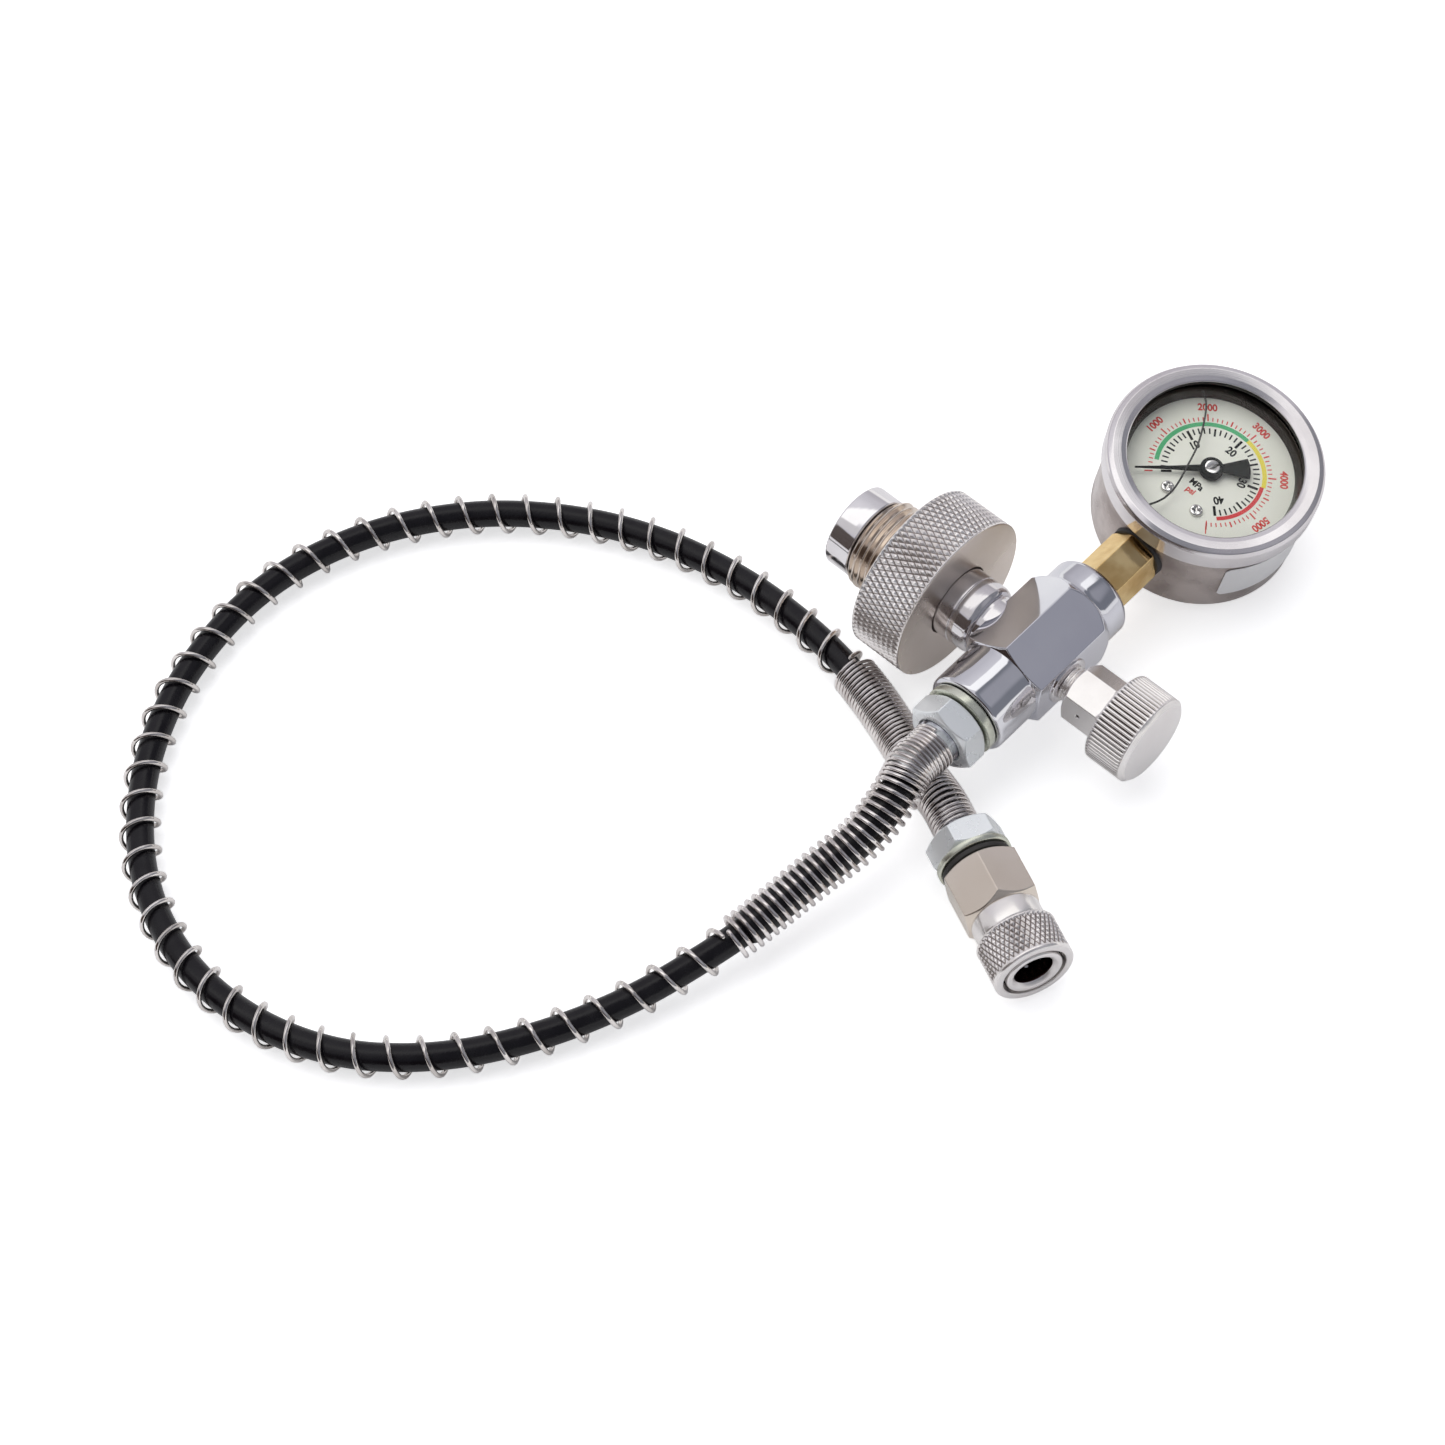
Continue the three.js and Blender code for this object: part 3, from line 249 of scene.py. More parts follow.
def metal(name, tone, dull, rough, cloud=60, bump=0.1, lathe=None, rings=0,
          metallic=1.0):
    """Plated, polished or bare metal. lathe is the axis letter of the piece's turning marks;
    satin plating is a little less metallic."""
    material, tree, shader, place, height = cloudy_material(
        name, tone, dull, rough, cloud, METAL_GRAIN, {"Metallic": metallic})
    if lathe:
        parts = node(tree, "SeparateXYZ", {"Vector": place}).outputs
        squares = [calculate(tree, "MULTIPLY", parts[letter], parts[letter])
                   for letter in "XYZ" if letter != lathe]
        radius = calculate(tree, "SQRT", calculate(tree, "ADD", *squares))
        marks = node(tree, "Group", {"Rings": rings, "Along": parts[lathe],
                                     "Around": radius}, node_tree=turning_marks)
        height = marks.outputs["Height"]
    add_bump(tree, shader, height, bump)
    return material


def coating(name, tone, dull, rough, cloud=80, bump=0.15, specular=0.5):
    """Paint, rubber, plastic or paper."""
    material, tree, shader, _, height = cloudy_material(
        name, tone, dull, rough, cloud, COATING_GRAIN, {"Specular IOR Level": specular})
    add_bump(tree, shader, height, bump)
    return material


def window_glass():
    material, tree, shader = start_material("gauge_window")
    cloud = noise(tree, node(tree, "TexCoord").outputs["Object"], 90.0, 3.0, 0.55)
    feed(tree, shader, {
        "Base Color": mixed(tree, cloud, (0.995, 1.0, 0.99, 1), (0.975, 0.985, 0.97, 1)),
        "Roughness": 0.02, "Transmission Weight": 1.0, "IOR": 1.22})
    return material


chrome = metal("bright_chrome", (0.79, 0.79, 0.83), (0.70, 0.70, 0.76),
               (0.05, 0.10), cloud=40, bump=0.03)
chrome_collar = metal("turned_chrome", (0.79, 0.79, 0.82), (0.66, 0.66, 0.71),
                      (0.05, 0.10), cloud=50, bump=0.05, lathe="X", rings=1400)
chrome_neck = metal("turned_chrome_neck", (0.90, 0.88, 0.89), (0.74, 0.71, 0.72),
                    (0.05, 0.11), cloud=50, bump=0.08, lathe="Y", rings=1400, metallic=0.92)
nickel_knurl = metal("nickel_knurl", (0.98, 0.95, 0.93), (0.88, 0.83, 0.80),
                     (0.12, 0.22), cloud=120, bump=0.12, metallic=0.75)
nickel_turned = metal("nickel_turned", (0.84, 0.76, 0.70), (0.72, 0.63, 0.54),
                      (0.20, 0.34), cloud=35, bump=0.25, lathe="Y", rings=2600, metallic=0.8)
nickel_thread = metal("nickel_thread", (0.86, 0.78, 0.70), (0.66, 0.57, 0.49),
                      (0.10, 0.22), cloud=80)
nickel_plain = metal("nickel_plain", (0.97, 0.94, 0.92), (0.88, 0.84, 0.81),
                     (0.14, 0.24), cloud=70, bump=0.12, metallic=0.75)
nickel_face = metal("nickel_face", (0.98, 0.95, 0.93), (0.93, 0.89, 0.87),
                    (0.30, 0.42), cloud=50, bump=0.25, metallic=0.65)
nickel_hex = metal("nickel_hex", (0.88, 0.80, 0.71), (0.78, 0.69, 0.59),
                   (0.16, 0.26), cloud=45, bump=0.12, metallic=0.85)
zinc = metal("bright_zinc", (0.95, 0.975, 0.98), (0.87, 0.90, 0.91), (0.20, 0.34),
             cloud=110, bump=0.2, metallic=0.5)
zinc_green = metal("passivated_zinc", (0.80, 0.81, 0.70), (0.66, 0.68, 0.57),
                   (0.20, 0.32), cloud=90, bump=0.15, metallic=0.85)
# painted shade: a darker nickel for the faces deep in the knurls' grooves
nickel_groove_shade = metal("nickel_painted_groove_shade", (0.38, 0.33, 0.31), (0.26, 0.22, 0.20),
                      (0.3, 0.45), cloud=120)
# painted shade: near-black for the inside of the coupler's bore and of the bleed vent
bore_painted_shade = metal("coupler_bore_painted_shade", (0.070, 0.036, 0.032), (0.035, 0.020, 0.018),
                   (0.2, 0.35), cloud=80)
brass = metal("turned_brass", (1.0, 0.76, 0.38), (0.70, 0.45, 0.17), (0.10, 0.24),
              cloud=150, bump=0.18)
dull_brass = metal("movement_brass", (0.62, 0.48, 0.22), (0.5, 0.37, 0.16),
                   (0.25, 0.4), cloud=90, bump=0.15)
stainless_rim = metal("rolled_stainless", (0.86, 0.83, 0.84), (0.72, 0.68, 0.69),
                      (0.10, 0.24), cloud=45, lathe="Z", rings=1200, metallic=0.9)
stainless_case = metal("drawn_stainless", (0.56, 0.50, 0.475),
                       (0.30, 0.25, 0.235), (0.20, 0.36), cloud=85, bump=0.15, lathe="Z",
                       rings=900)
steel_pin = metal("steel_pin", (0.72, 0.70, 0.69), (0.6, 0.58, 0.57),
                  (0.15, 0.3), cloud=150)
steel_wire = metal("spring_wire", (0.88, 0.84, 0.81), (0.58, 0.54, 0.51),
                   (0.07, 0.16), cloud=160, bump=0.08)
guard_wire = metal("guard_spring_wire", (0.92, 0.88, 0.86),
                   (0.62, 0.57, 0.55), (0.05, 0.12), cloud=160, bump=0.08)
rubber = coating("seal_rubber", (0.022, 0.020, 0.019), (0.035, 0.033, 0.031),
                 (0.45, 0.6))
jacket = coating("hose_jacket", (0.006, 0.005, 0.007), (0.010, 0.009, 0.011),
                 (0.16, 0.32), cloud=260, bump=0.35, specular=0.3)
dial_white = coating("dial_paint", (0.97, 0.97, 0.86), (0.93, 0.93, 0.81),
                     (0.45, 0.6), cloud=60, bump=0.05)
ink_black = coating("dial_black", (0.006, 0.007, 0.007),
                    (0.012, 0.013, 0.012), (0.5, 0.65), specular=0.15)
ink_red = coating("dial_red", (0.70, 0.055, 0.045), (0.76, 0.12, 0.10),
                  (0.4, 0.55), cloud=300, specular=0.2)
ink_scarlet = coating("band_red", (0.75, 0.045, 0.05), (0.68, 0.04, 0.045),
                      (0.4, 0.5))
ink_yellow = coating("band_yellow", (0.93, 0.82, 0.10), (0.90, 0.76, 0.08),
                     (0.4, 0.5))
ink_green = coating("band_green", (0.09, 0.52, 0.22), (0.07, 0.46, 0.18),
                    (0.4, 0.5))
# painted shade: near-black case metal for the ring over the case's inner wall under the window
inner_wall_shade = metal("case_inside_painted_shade", (0.055, 0.045, 0.040), (0.030, 0.024, 0.022),
                   (0.14, 0.26), cloud=70)
# painted shade: the dark line where the liquid's curved edge at the air bubble bends light away
bubble_edge_shade = coating("bubble_edge_painted_shade", (0.03, 0.03, 0.027),
                      (0.06, 0.057, 0.052), (0.15, 0.3))
paper = coating("blank_label", (0.97, 0.965, 0.96), (0.93, 0.925, 0.92),
                (0.5, 0.65), cloud=140, bump=0.1)
seal_plastic = coating("tip_plastic", (0.78, 0.76, 0.70), (0.7, 0.68, 0.62),
                       (0.4, 0.5))
glass = window_glass()

# ---- mesh making
WELD_DISTANCE = 2e-7            # metres
CREASE = 40.0                   # edges sharper than this stay sharp, in degrees
CORNER_SHARE = 0.48             # of the shorter side that a rounded corner may take
NEARLY_STRAIGHT = 0.05          # radians
SKIN = 0.05                     # what lies this near a knurled radius is cut


def make_mesh(name, shape, place, finishes=(), groups=None, crease=CREASE):
    """Object with a closed mesh, from the points and faces of a shape in its frame."""
    points, faces = shape
    mesh = bpy.data.meshes.new(name)
    mesh.from_pydata((np.asarray(points, float) * MM).tolist(), [], faces)
    for finish in finishes:
        mesh.materials.append(finish)
    if groups is not None:
        mesh.polygons.foreach_set("material_index", np.asarray(groups, np.int32))
    clean = bmesh.new()
    clean.from_mesh(mesh)
    bmesh.ops.remove_doubles(clean, verts=clean.verts, dist=WELD_DISTANCE)
    bmesh.ops.recalc_face_normals(clean, faces=clean.faces)
    clean.to_mesh(mesh)
    clean.free()
    mesh.shade_smooth()
    mesh.set_sharp_from_angle(angle=rad(crease))
    made = add_object(name, mesh)
    made.matrix_world = place
    return made


def make_piece(name, shape, place, finishes, stands_for=None, body="adapter", slot=None,
               groups=None, crease=CREASE):
    """A piece on a body; the slot argument is not used."""
    piece = make_mesh(name, shape, place, finishes, groups, crease)
    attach(piece, body)
    if stands_for:
        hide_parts(stands_for)
    return piece


def rounded(profile, default, bends=4, loop=False):
    """A profile of (along, radius[, corner radius]) with its corners rounded."""
    corners = [np.array(corner[:2], float) for corner in profile]
    out = []
    for i, corner in enumerate(corners):
        size = profile[i][2] if len(profile[i]) > 2 else default
        before = corners[i - 1] - corner
        after = corners[(i + 1) % len(corners)] - corner
        reach = min(np.linalg.norm(before), np.linalg.norm(after)) * CORNER_SHARE
        at_end = not loop and i in (0, len(profile) - 1)
        before, after = unit(before), unit(after)
        opening = math.acos(max(-1.0, min(1.0, float(before @ after))))
        if size <= 0 or at_end or opening > math.pi - NEARLY_STRAIGHT:
            out.append(corner)
            continue
        tangent = min(size / math.tan(opening / 2), reach)
        size = tangent * math.tan(opening / 2)
        centre = corner + unit(before + after) * size / math.sin(opening / 2)
        first, final = corner + before * tangent - centre, corner + after * tangent - centre
        sweep = math.acos(max(-1.0, min(1.0, float(first @ final) / size ** 2)))
        for k in range(bends + 1):
            share = k / bends
            spoke = (first * math.sin((1 - share) * sweep) + final * math.sin(share * sweep))
            out.append(centre + spoke / math.sin(sweep))
    return np.array(out)


def subdivided(profile, step, start, end):
    """Adds rows to a profile where it runs between two places along the axis."""
    out = [profile[0]]
    for a, b in zip(profile[:-1], profile[1:]):
        inside = min(a[0], b[0]) >= start - 1e-6 and max(a[0], b[0]) <= end + 1e-6
        count = max(1, math.ceil(abs(b[0] - a[0]) / step)) if inside else 1
        out.extend(a + (b - a) * (k + 1) / count for k in range(count))
    return np.array(out)


def level(radius, *spans):
    """Rows of one radius; each span is (start, end, count)."""
    return [(place, radius) for span in spans for place in np.linspace(*span)]


def block(low, high, inner, outer):
    return [(low, inner), (low, outer), (high, outer), (high, inner)]


def round_section(along, radius, wire, sides):
    return [(along + wire * math.sin(k), radius + wire * math.cos(k))
            for k in even_turns(sides)]


def even_turns(sides):
    return FULL_TURN * np.arange(sides) / sides


def grid_faces(rows, columns, loop=False, around=True, start=0):
    """Faces of a grid of points, closed around its rows and, for a loop, last row to first."""
    faces = []
    for i in range(rows if loop else rows - 1):
        below, above = start + i * columns, start + (i + 1) % rows * columns
        for k in range(columns if around else columns - 1):
            n = (k + 1) % columns
            faces.append((below + k, below + n, above + n, above + k))
    return faces


def capped_faces(rows, sides):
    """Faces of a closed bar of rows of points, with its two ends."""
    return [*grid_faces(rows, sides), tuple(range(sides - 1, -1, -1)),
            tuple(range((rows - 1) * sides, rows * sides))]


def turned(profile, turns, axis="Y", relief=None, loop=False):
    """Points and faces of a profile swept about an axis. relief changes the radius by place."""
    profile = np.asarray(profile, float)
    turns = even_turns(turns) if isinstance(turns, int) else turns
    along = np.repeat(profile[:, :1], len(turns), axis=1)
    radius = np.repeat(profile[:, 1:2], len(turns), axis=1)
    if relief is not None:
        radius = relief(along, turns[None, :] + 0 * radius, radius)
    first, second = radius * np.sin(turns), radius * np.cos(turns)
    order = {"Y": (first, along, second), "X": (along, first, second),
             "Z": (second, first, along)}[axis]
    points = np.stack(order, axis=-1).reshape(-1, 3)
    return points, grid_faces(len(profile), len(turns), loop)


def band_numbers(profile, limits, faces, loop):
    """Finish number of each face, from limits (low, high, inner, outer) that its row is in."""
    middles = (profile[:-1] + profile[1:]) / 2
    rows = len(profile) if loop else len(profile) - 1
    numbers = []
    for row in range(rows):
        along, radius = middles[min(row, len(middles) - 1)]
        numbers.append(next((number for number, (low, high, inner, outer)
                             in enumerate(limits, start=1)
                             if low <= along <= high and inner <= radius <= outer), 0))
    return np.repeat(numbers, faces // rows)


def turned_piece(name, profile, turns, place, finishes, stands_for=None, axis="Y",
                 relief=None, loop=False, limits=None, **options):
    """A turned piece; limits give bands of its rows their own finish."""
    shape = turned(profile, turns, axis, relief, loop)
    groups = band_numbers(profile, limits, len(shape[1]), loop) if limits else None
    return make_piece(name, shape, place, finishes, stands_for, groups=groups, **options)


def lathed(name, corners, size, turns, place, finish, stands_for=None, bends=4, loop=False,
           **options):
    """A turned piece of one finish with rounded corners."""
    return turned_piece(name, rounded(corners, size, bends, loop), turns, place, [finish],
                        stands_for, loop=loop, **options)


def tooth(value):
    """Triangle wave: 0 in a groove, 1 on a ridge."""
    return 1 - np.abs(2 * (value % 1.0) - 1)


def smooth_step(t):
    return t * t * (3 - 2 * t)


def knurl(count, radius, start, end, depth, lean, sharp, edge):
    """Relief of two crossed families of grooves, straight ones without lean, cut into a
    turned surface; they fade out over edge at both ends."""
    def relief(along, turn, r):
        around = turn * count / FULL_TURN
        shift = (along - start) * count / (FULL_TURN * radius) * lean
        crest = np.minimum(tooth(around + shift), tooth(around - shift))
        crest = np.minimum(crest * sharp, 1.0)
        fade = smooth_step(np.clip(np.minimum(along - start, end - along) / edge, 0, 1))
        return np.where(r > radius - SKIN, r - depth * (1 - crest) * fade, r)
    return relief


def knurled_piece(name, profile, sides, relief, place, finishes, stands_for, limits, groove,
                  loop=True, crease=35.0, **options):
    """Turned piece with the second finish in its bands and the third, a painted shade, deep in
    its knurl; groove is (low, high, inner radius, outer radius)."""
    points, faces = turned(profile, sides, relief=relief, loop=loop)
    groups = np.minimum(band_numbers(profile, limits, len(faces), loop), 1)
    x, along, z = points[np.array(faces)].mean(axis=1).T
    radius = np.hypot(x, z)
    low, high, inner, outer = groove
    # faces deep in the knurl take the third finish, a painted shade
    groups[(along > low) & (along < high) & (radius >= inner) & (radius < outer)] = 2
    return make_piece(name, (points, faces), place, finishes, stands_for, groups=groups,
                      crease=crease, **options)


HEX_STEPS = [-27.5, -25, -22.5, -20, -17.5, -15, -12.5, -10, -7.5, -5.5, -4.2, -3.3, -2.6, -2,
             -1.5, -1, -0.5]    # degrees from a corner, closer near it
SIXTH = math.pi / 6


def hex_turns(first_corner):
    """Turns with extra ones at the corners of a hexagon."""
    steps = [-30, *HEX_STEPS, 0, *[-step for step in reversed(HEX_STEPS)]]
    return np.array([first_corner + rad(60 * k + step) for k in range(6) for step in steps])


def hexagon(turn, half_flats, corner, first_corner):
    """Radius of a hexagon with rounded corners, by turn."""
    off = np.abs((turn - first_corner + SIXTH) % (2 * SIXTH) - SIXTH)
    centre = (half_flats - corner) / math.cos(SIXTH)
    arc = centre * np.cos(off) + np.sqrt(np.maximum(corner ** 2 - (centre * np.sin(off)) ** 2, 0))
    flat = half_flats / np.cos(SIXTH - off)
    limit = math.atan2(corner * math.sin(SIXTH), centre + corner * math.cos(SIXTH))
    return np.where(off < limit, arc, flat)


def hex_relief(half_flats, corner, first_corner, envelope, low, high, least, blend=0.22):
    """Relief of a hexagonal bar inside a turned envelope, with a softened edge between them,
    for the rows from low to high whose radius is more than least."""
    envelope_along, envelope_radii = np.array(envelope).T

    def relief(along, turn, r):
        limit = np.interp(along, envelope_along, envelope_radii)
        bar = hexagon(turn, half_flats, corner, first_corner)
        h = np.clip(0.5 + 0.5 * (limit - bar) / blend, 0, 1)
        shaped = limit * (1 - h) + bar * h - blend * h * (1 - h)
        return np.where((along > low) & (along < high) & (r > least), shaped, r)
    return relief


def drilled(piece, tools):
    """Cuts closed tool meshes out of a piece and removes the tools."""
    for tool in tools:
        cutter = piece.modifiers.new("drill", "BOOLEAN")
        cutter.operation, cutter.solver, cutter.object = "DIFFERENCE", "EXACT", tool
    bpy.context.view_layer.update()
    shape = piece.evaluated_get(bpy.context.evaluated_depsgraph_get())
    mesh = bpy.data.meshes.new_from_object(shape)
    piece.modifiers.clear()
    old = piece.data
    piece.data = mesh
    bpy.data.meshes.remove(old)
    mesh.name = piece.name
    for tool in tools:
        bpy.data.objects.remove(tool)


def prism(outline, low, high):
    """Points and faces of a flat outline given thickness."""
    count = len(outline)
    points = [(x, y, z) for z in (low, high) for x, y in outline]
    faces = [tuple(range(count - 1, -1, -1)), tuple(range(count, 2 * count))]
    faces += [(k, (k + 1) % count, count + (k + 1) % count, count + k) for k in range(count)]
    return points, faces


def bar_outline(length, width):
    return [(-length, -width), (length, -width), (length, width), (-length, width)]


def merged(shapes):
    """Several shapes as one."""
    points, faces = [], []
    for some_points, some_faces in shapes:
        start = len(points)
        points.extend(map(tuple, some_points))
        faces.extend(tuple(index + start for index in face) for face in some_faces)
    return points, faces


def resampled(table, places):
    """Rows of a table of three columns, read between its rows at fractional row numbers."""
    rows = np.arange(len(table))
    return np.stack([np.interp(places, rows, table[:, k]) for k in range(3)], axis=-1)


# ---- hose, springs and route
LOOSE_ROUTE = [
    (-46.5, -1.2, 19.5), (-53.5, -1.8, 17.5), (-60.5, -1.3, 15.5), (-70.2, 1, 13),
    (-81, 3.2, 10.8), (-91.2, 5.2, 9.1), (-102.5, 8.4, 7.5), (-116, 12.9, 6.1),
    (-129.2, 18.8, 5.2), (-141.4, 25.7, 4.95), (-152.2, 33.6, 4.95), (-161.4, 42.8, 4.95),
    (-168.8, 53.2, 4.95), (-174.2, 66, 4.95), (-176.9, 80.2, 4.95), (-176.6, 95, 4.95),
    (-173, 109.2, 4.95), (-166.7, 121.9, 4.95), (-158, 133, 4.95), (-147.4, 142.6, 4.95),
    (-136, 149.7, 4.95), (-125.2, 154.4, 4.95), (-113.7, 157.4, 4.95), (-101.8, 158.8, 4.95),
    (-90, 158.1, 4.95), (-77.9, 155, 4.95), (-66.1, 149.7, 4.95), (-55, 142.2, 4.95),
    (-44.6, 132.4, 4.95), (-35.8, 120.7, 4.95), (-28.7, 107.6, 4.95), (-23.8, 94, 4.95),
    (-21, 80.6, 5), (-20, 66.9, 5.45), (-20.5, 52.8, 5.75), (-22.3, 38.8, 5.75),
    (-25.6, 25.8, 5.8), (-30, 13.4, 5.85), (-34.2, 3.4, 6.7)]
NUT_RECESS = -30.5              # where the hose starts along the bar
COUPLER_RECESS = 0.9            # where the hose ends along the coupler
STRETCH_STEPS = 60              # steps between two points of the route
ROUTE_POINTS = 1201
HOSE_RADIUS = 3.2
HOSE_SIDES = 28
WIRE_SIDES = 10
GUARD_START = 2.0
GUARD_END = 66.0
GUARD_PARTS = 0.31              # share of the body's guard spring where its coils part
COUPLER_GUARD_LENGTH = 52.0
SPRING_GAP = 1.6


def hose_points():
    """The route through every point, as a centripetal Catmull-Rom curve, evenly spaced."""
    shift = np.array([origin[0], origin[1], 0.0])
    stretch = [on_table(VALVE, (NUT_RECESS - step, 0, 0)) for step in (0, 5, 10)]
    stretch += [np.array(point) + shift for point in LOOSE_ROUTE]
    stretch += [on_table(COUPLER, (0, COUPLER_RECESS - step, 0)) for step in (10, 5, 0)]
    ends = [2 * stretch[0] - stretch[1], *stretch, 2 * stretch[-1] - stretch[-2]]
    fine = []
    for i in range(1, len(ends) - 2):
        p0, p1, p2, p3 = ends[i - 1:i + 3]
        d0, d1, d2 = [math.sqrt(np.linalg.norm(b - a)) for a, b in
                      ((p0, p1), (p1, p2), (p2, p3))]
        m1 = ((p1 - p0) / d0 - (p2 - p0) / (d0 + d1) + (p2 - p1) / d1) * d1
        m2 = ((p2 - p1) / d1 - (p3 - p1) / (d1 + d2) + (p3 - p2) / d2) * d1
        for t in np.arange(STRETCH_STEPS) / STRETCH_STEPS:
            fine.append(p1 + m1 * t + (3 * (p2 - p1) - 2 * m1 - m2) * t ** 2
                        + (2 * (p1 - p2) + m1 + m2) * t ** 3)
    fine = np.array([*fine, stretch[-1]])
    lengths = np.concatenate([[0], np.cumsum(np.linalg.norm(np.diff(fine, axis=0), axis=1))])
    even = np.linspace(0, lengths[-1], ROUTE_POINTS)
    return np.stack([np.interp(even, lengths, fine[:, k]) for k in range(3)], 1), lengths[-1]


def direction_of(points):
    ahead = np.gradient(points, axis=0)
    return ahead / np.linalg.norm(ahead, axis=1)[:, None]


def carried_frames(points, start=(0, 0, 1)):
    """Ahead, across and side directions carried along points without twist."""
    ahead = direction_of(points)
    across = np.zeros_like(ahead)
    current = np.array(start, float)
    for i, direction in enumerate(ahead):
        current = unit(current - direction * (current @ direction))
        across[i] = current
    return ahead, across, np.cross(ahead, across)


route, hose_length = hose_points()
_, route_across, route_side = carried_frames(route)


def route_frame(length):
    """Centre, across and side of the hose at lengths along it."""
    place = np.clip(np.asarray(length) / hose_length, 0, 1) * (len(route) - 1)
    return [resampled(table, place) for table in (route, route_across, route_side)]


def tube(points, radii, sides, outward=None, ends=True):
    """Points and faces of a round skin along points; radii may vary, ends are domed."""
    points = np.asarray(points, float)
    radii = np.broadcast_to(np.asarray(radii, float), len(points))
    if outward is None:
        ahead, across, side = carried_frames(points, (0.03, 0.05, 1))
    else:
        ahead = direction_of(points)
        across = outward - ahead * (outward * ahead).sum(1)[:, None]
        across /= np.linalg.norm(across, axis=1)[:, None]
        side = np.cross(ahead, across)
    if ends:
        dome = np.array([1, 2]) * SIXTH
        size, reach = np.sin(dome), np.cos(dome)[:, None]
        rows = np.clip(np.arange(-2, len(points) + 2), 0, len(points) - 1)
        points = np.concatenate([points[0] - ahead[0] * radii[0] * reach, points,
                                 points[-1] + ahead[-1] * radii[-1] * reach[::-1]])
        radii = np.concatenate([radii[0] * size, radii, radii[-1] * size[::-1]])
        across, side = across[rows], side[rows]
    turns = even_turns(sides)[None, :, None]
    ring = np.cos(turns) * across[:, None, :] + np.sin(turns) * side[:, None, :]
    skin = points[:, None, :] + ring * radii[:, None, None]
    return skin.reshape(-1, 3), capped_faces(len(points), sides)


def coil(start, end, turns, radius, shrink=0.0, spacing_at=np.ones_like, steps=22):
    """Wire of a coil round the hose between two lengths along it; returns it with spokes."""
    count = int(turns * steps)
    weights = spacing_at((np.arange(count) + 0.5) / count)
    covered = np.concatenate([[0], np.cumsum(weights)]) / weights.sum()
    centre, across, side = route_frame(start + (end - start) * covered)
    angle = FULL_TURN * np.arange(count + 1) / steps
    spoke = np.cos(angle)[:, None] * across + np.sin(angle)[:, None] * side
    return centre + spoke * (radius - shrink * smooth_step(covered))[:, None], spoke


def parted(share):
    """How far the coils of the body's guard spring have parted at a share of its length."""
    return smooth_step(np.clip((share - GUARD_PARTS) / 0.06, 0, 1))


def add_spring(name, wire, finish, stands_for, radius):
    points, spoke = wire
    return make_piece(name, tube(points, radius, WIRE_SIDES, spoke), TABLE, [finish], stands_for,
                      crease=60)


def add_hose():
    """The hose, its three springs and the black sleeve under the first of them; returns the
    hose, the pieces that it carries and its centreline."""
    centreline = route[::3]
    hose = make_piece("hose_jacket", tube(centreline, HOSE_RADIUS, HOSE_SIDES, ends=False),
                      TABLE, [jacket], "hose", crease=60)
    wire = coil(GUARD_START, GUARD_END, 37, 5.3, 0.55, lambda t: 1.03 + 1.09 * parted(t)
                - 0.12 * np.clip((t - 0.5) / 0.3, 0, 1))
    guard = add_spring("guard_coils_body_end", wire, guard_wire, "guard_spring_body_end",
                       0.46 + 0.11 * parted(np.linspace(0, 1, len(wire[0]))))
    tip_end = hose_length - GUARD_START
    tip_start = tip_end - COUPLER_GUARD_LENGTH
    tip = add_spring("guard_coils_coupler_end", coil(tip_start, tip_end, 44, 5.1), guard_wire,
                     "guard_spring_coupler_end", 0.43)
    open_wire = coil(GUARD_END + SPRING_GAP, tip_start - SPRING_GAP, 52, 4.33, steps=26)
    open_coils = add_spring("hose_coils", open_wire, steel_wire, "hose_spring", 0.56)
    lengths = np.linspace(GUARD_START + 9, GUARD_END - 3, 60)
    ease = np.minimum(lengths - lengths[0], lengths[-1] - lengths) / 1.5
    radii = 3.3 + 0.75 * smooth_step(np.clip(ease, 0, 1))
    sleeve = make_piece("hose_sleeve",
                        tube(route_frame(lengths)[0], radii, HOSE_SIDES, ends=False), TABLE,
                        [jacket], crease=60)
    return hose, [guard, tip, open_coils, sleeve], centreline


hose, hose_carries, hose_centreline = add_hose()

# ---- quick coupler
NUT_HALF_FLATS = 8.0
NUT_SPIGOT_RADIUS = 4.7


def hose_nut(name, length, first_corner, place, axis, start, spigot_end, stands_for,
             flange=None):
    """Chamfered hex nut with a recess for the spring, a flange if given, and a spigot."""
    half = NUT_HALF_FLATS
    recess = [(1.2, 0), (1.2, 5.9, 0), (0.0, 5.95, 0.2), (0.0, half - 0.5, 0)]
    rows = level(half, (0.02, 1.6, 15), (1.7, length - 1.2, 12),
                 (length - 1.1, length - 0.02, 10))
    rows.append((length, half - 0.5))
    end = length
    if flange:
        radius, end = flange
        rows += [(length, radius - 0.25), (length + 0.1, radius), (end - 0.25, radius),
                 (end - 0.05, radius - 0.2), (end, radius - 0.4)]
    rows += [(end, NUT_SPIGOT_RADIUS), (spigot_end, NUT_SPIGOT_RADIUS), (spigot_end, 0)]
    profile = np.vstack([rounded(recess, 0.1), rows])
    profile[:, 0] += start
    tip, wide, stop = half - 0.35, half * 2 / math.sqrt(3) + 0.25, start + length
    envelope = [(start, tip), (start + 1.1, wide), (stop - 1.1, wide), (stop, tip)]
    return turned_piece(name, profile, hex_turns(first_corner), place,
                        [zinc, zinc_green] if flange else [zinc], stands_for, axis=axis,
                        relief=hex_relief(half, 0.35, first_corner, envelope, start + 0.01,
                                          stop - 0.01, half - 0.6),
                        limits=[(stop, stop + 3, 6.5, 12)] if flange else None, crease=50)


